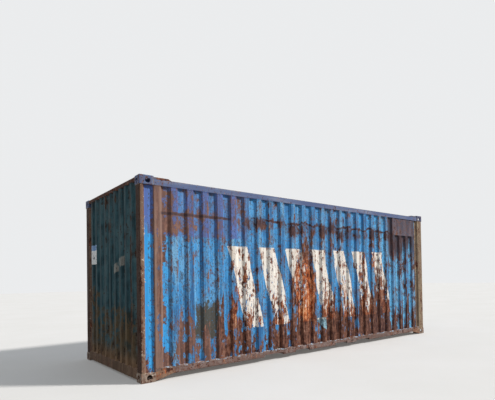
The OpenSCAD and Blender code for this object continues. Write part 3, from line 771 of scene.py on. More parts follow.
    def blues(self, bench: Bench, recess: Signal, streak: Signal, aged: Signal) -> Signal:
        """The sound paint, brighter in the recesses and faded by zones.

        Args:
            bench: Bench of the material.
            recess: 1 in the recesses, 0 on the ribs.
            streak: Noise of the upright streaks.
            aged: 1 in the upper front part.

        Returns:
            The paint's colour.
        """
        x, z = bench.x, bench.z
        cloud, flecks = bench.noise(self.clouds), bench.noise(self.flecks)
        tone = (
            streak * 0.35 + bench.noise(self.fades) * 0.2 + bench.noise(self.hairs) * 0.25
            + cloud * 0.2
        )
        bleached = tone + x.step(0.7, 2.2) * 0.02
        rib = bleached.ramp((0.44, self.deep), (0.495, self.mid), (0.55, self.chalky))
        vivid = bench.mix(x.step(0.9, 2.2), self.bright, self.cyan)
        ends = x.step(-2.5, -2.75) + x.step(0.5, 1.7) * 0.8
        blue = rib.coat(vivid, recess * (ends * 0.65 + 0.3) * tone.step(0.38, 0.48))
        dull = tone.ramp((0.44, self.violet), (0.52, self.lavender))
        held = recess * (1.0 - x.step(-2.6, -2.75)) * 0.4
        blue = blue.coat(dull, aged * (0.85 - held))
        dirt = cloud.step(0.53, 0.62) * 0.5 | (flecks + cloud * 0.4).step(0.76, 0.79) * 0.8
        ragged = (cloud - 0.5) * 0.5
        repaint = (
            (x + ragged).within(*self.repaint_x, 0.02)
            * (z + ragged * 1.6).within(*self.repaint_z, 0.03) * flecks.step(0.3, 0.38)
        )
        return blue.coat(self.grime, dirt).coat(self.olive, repaint * 0.94)

    def steel(self, bench: Bench, bars: Signal, streak: Signal, aged: Signal) -> Signal:
        """Colour of the rusty steel, fresher in places and duller at both ends.

        Args:
            bench: Bench of the material.
            bars: 1 on the slanted bars.
            streak: Noise of the upright streaks.
            aged: 1 in the upper front part.

        Returns:
            The rust's colour.
        """
        x, z = bench.x, bench.z
        fresh = spots(self.fresh_patches, x, z) + bars * 0.45
        lively = bench.noise(self.embers).step(0.4, 0.5)
        runs = bench.noise(self.threads).step(0.58, 0.68) * z.step(1.9, 1.7) * 0.3
        pale = x.within(*self.first_rib, 0.01) * streak.step(0.4, 0.56) * 0.6
        dull = aged * 0.5 | x.step(-1.85, -2.05) * 0.35
        rusty = self.rust.colour(bench, fresh * lively + runs)
        rusty = rusty.coat(self.rust.pale, pale).coat(self.mauve, dull)
        return rusty.coat(self.soot, x.step(0.8, 1.9) * 0.3)

    def build(self) -> bpy.types.Material:
        """Wires the paint, the bars, the rust and their relief.

        Returns:
            The finished material.
        """
        bench = Bench(self.name)
        recess = self.ribs.inset(bench).step(0.3, 0.9)
        streak, flake = bench.noise(self.streaks), bench.noise(self.flakes)
        aged, sooty = self.aged(bench), self.sooty(bench, streak)
        row, bars = self.row(bench, recess), self.bars(bench)
        eaten = self.eaten(bench, recess, row, flake, streak)
        chipped = (
            bench.noise(self.chips) * 0.42 + bench.noise(self.drips) * 0.22 + eaten * 0.36
            + bench.z.step(1.5, 0.6) * 0.03
        )
        white = bars * chipped.step(self.chip_from + 0.01, self.chip_from)
        bitten = (
            bars * chipped.step(self.chip_from - 0.004, self.chip_from + 0.01)
            * flake.step(0.45, 0.48)
        )
        pits = (bench.noise(self.specks) + eaten * 0.5).step(
            self.pits_from, self.pits_from + 0.015
        )
        rust = eaten.step(self.bare_from, self.bare_from + self.rim) | pits | bitten
        stain = eaten.step(self.bare_from - 0.07, self.bare_from)
        bare = rust * (1.0 - white * 0.5)

        chalk = bench.mix(streak.step(0.48, 0.68), self.white, self.cream)
        paint = self.blues(bench, recess, streak, aged).coat(self.soot, sooty * 0.93)
        paint = paint.coat(self.rust.brown, stain * 0.5).coat(chalk, white)
        colour = paint.coat(self.steel(bench, bars, streak, aged), bare)
        colour = colour.coat(self.soot, sooty * 0.6 | row * 0.7)
        height = bare * (bench.noise(self.grit) * 0.7 - 0.8) + white * 0.3
        rough = rust * 0.38 + stain * 0.1 + 0.5
        return bench.finish(colour, rough, height, self.relief)


@dataclass(frozen=True)
class FrontWallPaint:
    """Dark teal paint, smeared and rusted, with dirt rising from the sill and painted shade on
    the ribs.
    """

    name: str = "front_wall_paint"
    ribs: RibPattern = FRONT_RIBS
    relief: float = 0.0014
    specular: float = 0.03
    deep: Colour = srgb("2b434a")
    teal: Colour = srgb("4a6c75")
    pale: Colour = srgb("6a888e")
    mud: Colour = srgb("6f5c42")
    bed: Colour = srgb("927459")
    # colour of the painted shade laid in the rib slopes
    shade: Colour = srgb("1b272a")
    olive: Colour = srgb("3b3d35")
    chalk: Colour = srgb("a3a19a")
    rust: RustTones = RustTones(*shades("32241f", "4a3830", "5f4b41", "75604f"))
    streaks: Grain = Grain((14, 14, 0.9), 6, 0.6, (4, 1, 2))
    flakes: Grain = Grain((11, 11, 6), 10, 0.7, (8, 2, 6))
    clouds: Grain = Grain((5, 5, 3), 8, 0.7, (1, 9, 2))
    specks: Grain = Grain((40, 40, 26), 5, 0.65)
    grit: Grain = Grain((110, 110, 110), 4, 0.7)
    repaint_y: Span = (-0.93, -0.57)
    repaint_z: Span = (0.36, 0.857)
    smear_y: Span = (-0.54, -0.16)
    smear_z: Span = (1.305, 1.43)
    smear_slant: float = 0.35
    dirt_top: float = 0.74
    bare_from: float = 0.595
    pits_from: float = 0.88
    rim: float = 0.02
    rust_patches: tuple[Patch, ...] = (
        Patch(-0.86, 1.3, 0.07, 1.2, 0.12),
        Patch(-0.62, 1.7, 0.12, 0.7, 0.05),
        Patch(0.95, 1.0, 0.3, 0.6, 0.03),
    )

    def paint(
        self, bench: Bench, inset: Signal, streak: Signal, flake: Signal, cloud: Signal
    ) -> Signal:
        """The paint, with painted shade on the ribs' outer flats, a repainted place and a chalky
        smear.

        Args:
            bench: Bench of the material.
            inset: Depth behind the outer flats.
            streak: Noise of the upright streaks.
            flake: Noise of the flaking.
            cloud: Noise of the clouds.

        Returns:
            The paint's colour.
        """
        y, z = bench.y, bench.z
        tone = streak * 0.6 + cloud * 0.4
        paint = tone.ramp((0.42, self.deep), (0.5, self.teal), (0.62, self.pale))
        repaint = y.within(*self.repaint_y, 0.015) * z.within(*self.repaint_z, 0.02)
        smear = (
            y.within(*self.smear_y, 0.012)
            * (z + y * self.smear_slant).within(*self.smear_z, 0.012) * flake.step(0.44, 0.5)
        )
        # painted shade: the ribs' outer flats are darkened towards the deep tone
        paint = paint.coat(self.deep, inset.step(0.12, 0.02) * 0.6)
        return paint.coat(self.olive, repaint * 0.8).coat(self.chalk, smear * 0.8)

    def build(self) -> bpy.types.Material:
        """Wires the paint, the dirt, the rust and their relief.

        Returns:
            The finished material.
        """
        bench = Bench(self.name)
        y, z = bench.y, bench.z
        inset = self.ribs.inset(bench)
        streak, flake = bench.noise(self.streaks), bench.noise(self.flakes)
        cloud = bench.noise(self.clouds)
        draw = bench.draw(self.ribs.number(bench), seed=31.0)
        top = draw * 0.2 + cloud * 2.4 + y.step(0.3, 1.0) * 0.3 + (self.dirt_top - 1.2)
        mud = (top - z).step(-0.08, 0.1)
        caked = mud * flake.step(0.4, 0.5) * (0.85 - inset.step(0.3, 0.9) * 0.15)
        bed = (z + flake * 0.5).step(0.62, 0.42)
        eaten = (
            flake * 0.6 + streak * 0.4 + mud * 0.03 + self.ribs.edges(bench, reach=0.02) * 0.012
            + z.step(2.2, 2.5) * 0.04 + spots(self.rust_patches, y, z)
        )
        pits = (bench.noise(self.specks) + eaten * 0.5).step(
            self.pits_from, self.pits_from + self.rim
        )
        rust = eaten.step(self.bare_from, self.bare_from + self.rim) | pits

        colour = self.paint(bench, inset, streak, flake, cloud)
        colour = colour.coat(self.mud, caked).coat(self.bed, bed * 0.9)
        colour = colour.coat(self.rust.brown, eaten.step(0.5, 0.6) * 0.35)
        colour = colour.coat(self.rust.colour(bench, 0.0), rust)
        # painted shade in the rib slopes, between the outer flats and the recess floors
        colour = colour.coat(self.shade, inset.within(0.12, 0.9, 0.08) * 0.12)
        height = rust * (bench.noise(self.grit) * 0.7 - 0.8)
        rough = rust * 0.33 + 0.55
        return bench.finish(colour, rough, height, self.relief, specular=self.specular)


@dataclass(frozen=True)
class Lap:
    """Paint of a wall that runs on over the flange of the post beside it.

    The flange lies deeper than depth behind the wall's outer face, and no farther from
    the container's middle than edge. The lower colour turns to the upper one over
    upper_z.
    """

    along: Along
    edge: float
    depth: float
    face: float
    lower: Colour
    upper: Colour
    upper_z: Span = (1.9, 2.2)
    soft: float = 0.002

    def share(self, bench: Bench) -> Signal:
        """Marks the flange.

        Args:
            bench: Bench of the material.

        Returns:
            1 where the wall's paint covers the post, 0 elsewhere.
        """
        here, across = self.along.split(bench)
        behind = self.face - abs(across)
        return (
            behind.step(self.depth - self.soft, self.depth + self.soft)
            * abs(here).step(self.edge + self.soft, self.edge - self.soft)
        )

    def colour(self, bench: Bench, streak: Signal) -> Signal:
        """The wall's colour, which turns to the upper one at a ragged height."""
        return bench.mix((bench.z + streak * 0.3).step(*self.upper_z), self.lower, self.upper)


@dataclass(frozen=True)
class Band:
    """A face of a frame part, told by its place along X, that is darker than the rest."""

    low: float
    high: float
    colour: Colour
    share: float
    soft: float = 0.0015

    def over(self, bench: Bench, colour: Signal) -> Signal:
        """The given colour with the band laid over it."""
        return colour.coat(
            self.colour, bench.x.within(self.low, self.high, self.soft) * self.share
        )


@dataclass(frozen=True)
class SteelPaint:
    """Paint over steel that is partly rusted, for frames, roof, doors and gear.

    The tones are the paint's dark, usual and faded colours. Run stretches the streaks,
    and grain makes the flakes finer. Bits are what is left of an older coat, kept above
    bits_above; on the bottom rail they are also painted highlight along its upper edge.
    Foot is how much more the lower part is eaten. Steel shows where the eaten field
    passes sound_until, lowered by rust_reach on a part that is wholly rusted.
    """

    name: str
    tones: tuple[Colour, ...]
    rusted: float = 0.5
    orange: float = 0.12
    run: Point = (12.0, 12.0, 1.2)
    bits: Colour | None = None
    bits_share: float = 0.0
    bits_above: float = -1.0
    rough: float = 0.58
    relief: float = 0.0013
    metallic: float = 0.0
    specular: float = 0.2
    grain: float = 1.0
    foot: float = 0.0
    patches: tuple[Patch, ...] = ()
    laps: tuple[Lap, ...] = ()
    bands: tuple[Band, ...] = ()
    rust: RustTones = RustTones()
    tone_stops: tuple[float, ...] = (0.38, 0.5, 0.63)
    sound_until: float = 0.66
    rust_reach: float = 0.3
    pits_above: float = 0.25
    rim: float = 0.02
    flakes: Grain = Grain((13, 13, 8), 10, 0.7, (1, 5, 8))
    wide: Grain = Grain((1.7, 1.7, 1.7), 3, 0.5, (2, 2, 5))
    specks: Grain = Grain((44, 44, 40), 5, 0.65, (3, 9, 1))
    glows: Grain = Grain((9, 9, 5), shift=(8, 8, 1))
    crumbs: Grain = Grain((18, 18, 18), 7, 0.68, (5, 1, 4))
    grit: Grain = Grain((110, 110, 110), 4, 0.7)

    def build(self) -> bpy.types.Material:
        """Wires paint, bits of an older coat, rust and relief.

        Returns:
            The finished material.
        """
        bench = Bench(self.name)
        x, z = bench.x, bench.z
        streak = bench.noise(Grain(self.run, detail=6, rough=0.62, shift=(6, 3, 2)))
        flake = bench.noise(self.flakes.finer(self.grain))
        wide = bench.noise(self.wide)
        colour = (streak * 0.6 + wide * 0.4).ramp(*zip(self.tone_stops, self.tones))
        eaten = (
            flake * 0.55 + streak * 0.22 + wide * 0.23 + z.step(0.95, 0.15) * self.foot
            + spots(self.patches, x, z)
        )
        for lap in self.laps:
            share = lap.share(bench)
            colour = colour.coat(lap.colour(bench, streak), share)
            eaten += share * (z.step(0.7, 0.2) * 0.34 - 0.26)

        bare_from = self.sound_until - self.rust_reach * self.rusted
        pits_from = self.pits_above + bare_from + 0.03 * (1.0 - self.grain)
        pits = (bench.noise(self.specks) + eaten * 0.5).step(pits_from, pits_from + self.rim)
        rust = eaten.step(bare_from, bare_from + self.rim) | pits
        colour = colour.coat(self.rust.brown, eaten.step(bare_from - 0.1, bare_from) * 0.45)
        glow = bench.noise(self.glows).step(0.46, 0.64) * self.orange
        colour = colour.coat(self.rust.colour(bench, glow), rust)
        if self.bits is not None:
            left_from = self.sound_until - self.bits_share
            left = bench.noise(self.crumbs).step(left_from, left_from + self.rim)
            left *= z.step(self.bits_above - 0.012, self.bits_above)
            colour = colour.coat(self.bits, left)
        for band in self.bands:
            colour = band.over(bench, colour)
        height = rust * (bench.noise(self.grit) * 0.8 - 0.8)
        rough = rust * (0.9 - self.rough) + self.rough
        metallic = (1.0 - rust) * self.metallic if self.metallic else 0.0
        return bench.finish(colour, rough, height, self.relief, metallic, self.specular)


@dataclass(frozen=True)
class PlainGrain:
    """A plain mottled finish, such as aged rubber or weathered plywood."""

    name: str
    tones: tuple[Colour, ...]
    scale: Point
    rough: float
    relief: float = 0.0006
    tone_stops: tuple[float, ...] = (0.35, 0.65)
    fineness: float = 6.0

    def build(self) -> bpy.types.Material:
        """Wires the mottle and a fine grain.

        Returns:
            The finished material.
        """
        bench = Bench(self.name)
        mottle = bench.noise(Grain(self.scale, detail=7, rough=0.65))
        fine = bench.noise(Grain(self.scale, detail=4, rough=0.7).finer(self.fineness))
        colour = mottle.ramp(*zip(self.tone_stops, self.tones))
        return bench.finish(colour, self.rough, fine, self.relief)


@dataclass(frozen=True)
class FilmPrint:
    """A plain pale sticker film with one coloured band, worn at its rim."""

    name: str
    film: Colour
    band: Colour
    band_from: float
    worn: float
    bare: Colour = srgb("55646c")
    wear: Grain = Grain((26, 26, 14), 8, 0.7)
    wear_stops: Span = (0.6, 0.64)
    soft: float = 0.002
    rough: float = 0.55
    relief: float = 0.0003

    def build(self) -> bpy.types.Material:
        """Wires the film, its band and its wear.

        Returns:
            The finished material.
        """
        bench = Bench(self.name)
        wear = bench.noise(self.wear)
        banded = bench.z.step(self.band_from - self.soft, self.band_from + self.soft)
        gone = wear.step(*(stop - self.worn for stop in self.wear_stops))
        colour = bench.mix(banded, self.film, self.band).coat(self.bare, gone * 0.85)
        return bench.finish(colour, self.rough, wear, self.relief)


@dataclass(frozen=True)
class HeadSize:
    """Size of a bolt head, a washer or a rivet head."""

    radius: float
    height: float
    sides: int
    bevel_share: float = 0.3


def shown(name: str, data: bpy.types.ID) -> bpy.types.Object:
    """Puts a mesh, lamp or camera into the scene.

    Args:
        name: Name of the object.
        data: What the object shows.

    Returns:
        The object.
    """
    made = bpy.data.objects.new(name, data)
    bpy.context.scene.collection.objects.link(made)
    return made


def meshed(
    name: str, mesh: bmesh.types.BMesh, material: bpy.types.Material
) -> bpy.types.Mesh:
    """Ends a mesh in the making.

    Args:
        name: Name of the mesh.
        mesh: The mesh in the making, which is freed.
        material: Its finish.

    Returns:
        The finished mesh.
    """
    data = bpy.data.meshes.new(name)
    mesh.to_mesh(data)
    mesh.free()
    data.materials.append(material)
    return data


class Blank:
    """A mesh in the making, finished as one piece of the scene."""

    def __init__(self, name: str) -> None:
        """Starts an empty mesh.

        Args:
            name: Name of the piece.
        """
        self.name = name
        self.mesh = bmesh.new()

    def bar(
        self, middle: Vector, way: Vector, radius: float, sides: int
    ) -> list[bmesh.types.BMVert]:
        """Adds a straight bar with flat ends.

        Args:
            middle: Centre of the bar.
            way: Direction and length of the bar.
            radius: Radius over the corners.
            sides: Number of its sides.

        Returns:
            The bar's vertices.
        """
        turn = way.to_track_quat("Z", "Y").to_matrix().to_4x4()
        made = bmesh.ops.create_cone(
            self.mesh, cap_ends=True, segments=sides, radius1=radius, radius2=radius,
            depth=way.length, matrix=Matrix.Translation(middle) @ turn,
        )
        return made["verts"]

    def bead(self, line: Sequence[Sequence[float]], radius: float, sides: int = 6) -> None:
        """Lays a round bead with flat ends along a line of points.

        Args:
            line: Points of the line.
            radius: Radius over the corners.
            sides: Number of its sides.
        """
        points = [Vector(point) for point in line]
        for start, stop in zip(points, points[1:]):
            self.bar((start + stop) / 2, stop - start, radius, sides)

    def head(self, at: Point, out: Point, size: HeadSize) -> None:
        """Adds a bolt or rivet head with a bevelled outer rim.

        Args:
            at: Centre of the head's seat.
            out: Direction that the head points in.
            size: Size of the head.
        """
        way = Vector(out).normalized() * size.height
        middle = Vector(at) + way / 2
        verts = self.bar(middle, way, size.radius, size.sides)
        edges = dict.fromkeys(edge for vert in verts for edge in vert.link_edges)
        rim = [e for e in edges if all((v.co - middle).dot(way) > 0 for v in e.verts)]
        bmesh.ops.bevel(
            self.mesh, geom=rim, offset=size.height * size.bevel_share, offset_type="OFFSET",
            segments=1, profile=0.5, affect="EDGES", material=-1,
        )

    def strip(self, line: Sequence[Sequence[float]], rise: float, thick: float) -> None:
        """Adds a thin sheet that stands up from a line of points.

        Args:
            line: Points of the lower edge.
            rise: Height of the sheet.
            thick: Thickness of the sheet.
        """
        points = [Vector(point) for point in line]
        up = Vector((0, 0, rise))
        seed = [self.mesh.verts.new(points[0]), self.mesh.verts.new(points[0] + up)]
        edge = self.mesh.edges.new(seed)
        sheet: list[bmesh.types.BMFace] = []
        for here, after in zip(points, points[1:]):
            made = bmesh.ops.extrude_edge_only(self.mesh, edges=[edge])["geom"]
            verts = [g for g in made if isinstance(g, bmesh.types.BMVert)]
            bmesh.ops.translate(self.mesh, verts=verts, vec=after - here)
            edge = next(
                g for g in made
                if isinstance(g, bmesh.types.BMEdge) and all(v in verts for v in g.verts)
            )
            sheet += [g for g in made if isinstance(g, bmesh.types.BMFace)]
        bmesh.ops.recalc_face_normals(self.mesh, faces=sheet)
        bmesh.ops.solidify(self.mesh, geom=sheet, thickness=thick)

    def cut(self, at: Point, normal: Point) -> None:
        """Cuts off what lies on the normal's side of a plane, and closes the cut.

        Args:
            at: Point on the plane.
            normal: Direction of the side that goes.
        """
        geom = [*self.mesh.verts, *self.mesh.edges, *self.mesh.faces]
        made = bmesh.ops.bisect_plane(
            self.mesh, geom=geom, plane_co=at, plane_no=normal, clear_outer=True
        )
        rim = [g for g in made["geom_cut"] if isinstance(g, bmesh.types.BMEdge)]
        bmesh.ops.edgeloop_fill(self.mesh, edges=rim)

    def place(self, material: bpy.types.Material, slot: str) -> bpy.types.Object:
        """Ends the mesh as a piece that rides with the container.

        Args:
            material: Finish of the piece.
            slot: Name of the material slot that the finish stands for; not used.

        Returns:
            The piece.
        """
        bmesh.ops.recalc_face_normals(self.mesh, faces=self.mesh.faces)
        piece = shown(self.name, meshed(self.name, self.mesh, material))
        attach(piece, ROOT)
        log.info("%s: %d faces", self.name, len(piece.data.polygons))
        return piece


@dataclass
class WallSeams:
    """Weld beads along the feet and heads of the corrugated walls."""

    radius: float = 0.0045
    bed_share: float = 0.6
    long_span: Span = (-2.84, 2.79)
    front_span: Span = (-0.95, 0.95)
    foot_z: float = 0.162
    long_head_z: float = 2.473
    front_head_z: float = 2.529
    sheet_seams: tuple[float, ...] = (-1.786, -0.686, 0.414, 1.514)

    def build(self, long_paint: bpy.types.Material, front_paint: bpy.types.Material) -> None:
        """Builds the seams of the three walls.

        Args:
            long_paint: Finish of the long walls.
            front_paint: Finish of the front wall.
        """
        for side, name in ((-1, "left"), (1, "right")):
            blank = Blank(f"side_wall_seams_{name}")
            for z in (self.foot_z, self.long_head_z):
                blank.bead(LONG_RIBS.line(side, z, self.long_span), self.radius)
            y = side * (LONG_RIBS.face - LONG_RIBS.depth - self.radius * self.bed_share)
            for x in self.sheet_seams:
                blank.bead([(x, y, self.foot_z), (x, y, self.long_head_z)], self.radius)
            blank.place(long_paint, "side_paint")
        blank = Blank("front_wall_seams")
        for z in (self.foot_z, self.front_head_z):
            blank.bead(FRONT_RIBS.line(-1, z, self.front_span), self.radius)
        blank.place(front_paint, "end_paint")


@dataclass
class FrameSeams:
    """Weld beads that join posts, rails, gussets and fittings."""

    radius: float = 0.005
    half_l: float = 3.029
    half_w: float = 1.219
    setback: float = 0.006
    joint_zs: Span = (0.118, 2.473)
    front_line: tuple[Span, ...] = (
        (0, 0.141), (0, 0.01), (0.003, 0.003), (0.01, 0), (0.031, 0), (0.069, 0.036),
        (0.103, 0.036),
    )
    rear_line: tuple[Span, ...] = (
        (0.05, 0.048), (0.01, 0.048), (0.003, 0.045), (0, 0.038), (0, 0.01), (0.003, 0.003),
        (0.01, 0), (0.151, 0), (0.17, 0.018),
    )
    gusset_line: tuple[Span, ...] = (
        (0.178, 0.112), (0.2724, 0.152), (0.3904, 0.142), (0.414, 0.096), (0.414, 0.078),
    )
    rail_end: float = 0.178
    rail_joints: tuple[Span, ...] = ((0.02, 0.11), (2.484, 2.541))
    sill_end: float = 0.162
    sill_joints: tuple[Span, ...] = ((0.036, 0.11), (2.54, 2.574))

    def corner(self, blank: Blank, end: int, side: int) -> None:
        """Lays the beads of one upright edge of the container.

        Args:
            blank: Mesh that takes the beads.
            end: -1 at the front, 1 at the doors.
            side: -1 on the left, 1 on the right.
        """
        x = end * (self.half_l - self.setback)
        y = side * (self.half_w - self.setback)
        outline = self.front_line if end < 0 else self.rear_line
        for z in self.joint_zs:
            blank.bead([(x - end * dx, y - side * dy, z) for dx, dy in outline], self.radius)
        gusset = [(end * (self.half_l - dx), y, z) for dx, z in self.gusset_line]
        blank.bead(gusset, self.radius)
        x = end * (self.half_l - self.rail_end)
        for low, high in self.rail_joints:
            blank.bead([(x, y, low), (x, y, high)], self.radius)

    def build(self, paint: bpy.types.Material) -> None:
        """Builds the seams of the frame.

        Args:
            paint: Finish of the seams.
        """
        blank = Blank("frame_seams")
        for end in (-1, 1):
            for side in (-1, 1):
                self.corner(blank, end, side)
        x = self.setback - self.half_l
        for side in (-1, 1):
            y = side * (self.half_w - self.sill_end)
            for low, high in self.sill_joints:
                blank.bead([(x, y, low), (x, y, high)], self.radius)
        blank.place(paint, "post_paint")


@dataclass
class PanelSeams:
    """Weld beads that hold the marking panels to the ribs behind them."""

    radius: float = 0.003
    face: float = 1.2135
    zs: Span = (2.123, 2.463)
    ribs: tuple[int, ...] = (22, 23, 24, 25)

    def build(self, paint: bpy.types.Material) -> None:
        """Builds the beads of both panels.

        Args:
            paint: Finish of the panels.
        """
        blank = Blank("panel_seams")
        starts = [LONG_RIBS.start + k * LONG_RIBS.pitch for k in self.ribs]
        low, high = self.zs
        for side in (-1, 1):
            y = side * self.face
            for z in self.zs:
                for x in starts:
                    blank.bead([(x, y, z), (x + LONG_RIBS.flat, y, z)], self.radius)
            for x in (starts[0], starts[-1] + LONG_RIBS.flat):
                blank.bead([(x, y, low), (x, y, high)], self.radius)
        blank.place(paint, "side_paint")


@dataclass
class DoorFasteners:
    """Bolts of the bar guides and hinge blades, and rivets of the lever hooks."""

    out: Point = (1.0, 0.0, 0.0)
    washer: HeadSize = HeadSize(radius=0.0105, height=0.0018, sides=14)
    bolt: HeadSize = HeadSize(radius=0.0085, height=0.006, sides=6)
    rivet: HeadSize = HeadSize(radius=0.007, height=0.004, sides=12)
    guide_face: float = 2.973
    blade_face: float = 2.977
    bar_ys: tuple[float, ...] = (-0.8825, -0.2825, 0.2825, 0.8825)
    guide_zs: tuple[float, ...] = (0.225, 0.6175, 1.7475, 2.375)
    guide_bolt: Span = (0.0345, 0.017)
    hinge_zs: tuple[float, ...] = (0.36, 0.98667, 1.61333, 2.24)
    blade_bolt_ys: Span = (1.04, 1.092)
    blade_bolt_dz: float = 0.015
    hook_y: float = 0.5825
    hook_zs: Span = (1.01, 1.12)
    hook_rivet_dz: float = 0.036

    def bolted(self, blank: Blank, at: Point) -> None:
        """Adds a hexagon bolt on its washer."""
        blank.head(at, self.out, self.washer)
        blank.head((at[0] + self.washer.height, at[1], at[2]), self.out, self.bolt)

    def build(self, steel: bpy.types.Material) -> None:
        """Builds the fasteners.

        Args:
            steel: Finish of the gear.
        """
        guides, blades, hooks = (
            Blank(name) for name in ("guide_bolts", "hinge_bolts", "hook_rivets")
        )
        corners = [(dy, dz) for dy in (-1, 1) for dz in (-1, 1)]
        wide, high = self.guide_bolt
        for y in self.bar_ys:
            for z in self.guide_zs:
                for dy, dz in corners:
                    self.bolted(guides, (self.guide_face, y + dy * wide, z + dz * high))
        for side in (-1, 1):
            for z in self.hinge_zs:
                for y in self.blade_bolt_ys:
                    for dz in (-self.blade_bolt_dz, self.blade_bolt_dz):
                        self.bolted(blades, (self.blade_face, side * y, z + dz))
            for z in self.hook_zs:
                for dz in (-self.hook_rivet_dz, self.hook_rivet_dz):
                    at = (self.guide_face, side * self.hook_y, z + dz)
                    hooks.head(at, self.out, self.rivet)
        for blank in (guides, blades, hooks):
            blank.place(steel, "gear")


@dataclass
class GasketLips:
    """Round rubber lips that fill the gaps round each door leaf."""

    x: float = 2.9645
    radius: float = 0.0035
    sides: int = 10
    ys: Span = (0.004, 1.161)
    zs: Span = (0.166, 2.434)

    def build(self, rubber: bpy.types.Material) -> None:
        """Builds the lips of both leaves.

        Args:
            rubber: Finish of the seals.
        """
        blank = Blank("gasket_lips")
        for side in (-1, 1):
            near, far = (side * y for y in self.ys)
            low, high = self.zs
            for y in (near, far):
                blank.bead([(self.x, y, low), (self.x, y, high)], self.radius, self.sides)
            for z in self.zs:
                blank.bead([(self.x, near, z), (self.x, far, z)], self.radius, self.sides)
        blank.place(rubber, "seal")


@dataclass
class Stickers:
    """A plain sticker on the front wall and a torn scrap of one on the left wall."""

    thick: float = 0.0004
    proud: float = 0.0011
    front_span: Span = (0.64, 0.915)
    front_z: float = 1.54
    front_h: float = 0.3
    front_band_share: float = 0.72
    scrap_span: Span = (-0.1, 0.13)
    scrap_z: float = 0.34
    scrap_h: float = 0.24
    scrap_band: float = 0.03
    tears: tuple[tuple[Span, Span], ...] = (
        ((0.08, 0.34), (-0.72, -0.62)),
        ((-0.1, 0.49), (-0.55, -0.83)),
        ((0.13, 0.46), (0.86, 0.3)),
        ((-0.04, 0.58), (-0.2, 0.98)),
    )

    def build(self) -> None:
        """Builds both films on the corrugations; tears are places and directions in X and Z."""
        front = Blank("front_sticker")
        line = FRONT_RIBS.line(-1, self.front_z, self.front_span, self.proud)
        front.strip(line, self.front_h, self.thick)
        band = self.front_z + self.front_band_share * self.front_h
        tones = shades("fbfcfc", "86aad6")
        film = FilmPrint("front_sticker_film", *tones, band_from=band, worn=0.05)
        front.place(film.build(), "end_paint")

        scrap = Blank("torn_sticker")
        line = LONG_RIBS.line(-1, self.scrap_z, self.scrap_span, self.proud)
        scrap.strip(line, self.scrap_h, self.thick)
        for (x, z), (way_x, way_z) in self.tears:
            scrap.cut((x, 0, z), (way_x, 0, way_z))
        band = self.scrap_z + self.scrap_h - self.scrap_band
        tones = shades("8fb7c8", "e2e4dd")
        film = FilmPrint("torn_sticker_film", *tones, band_from=band, worn=0.14)
        scrap.place(film.build(), "side_paint")


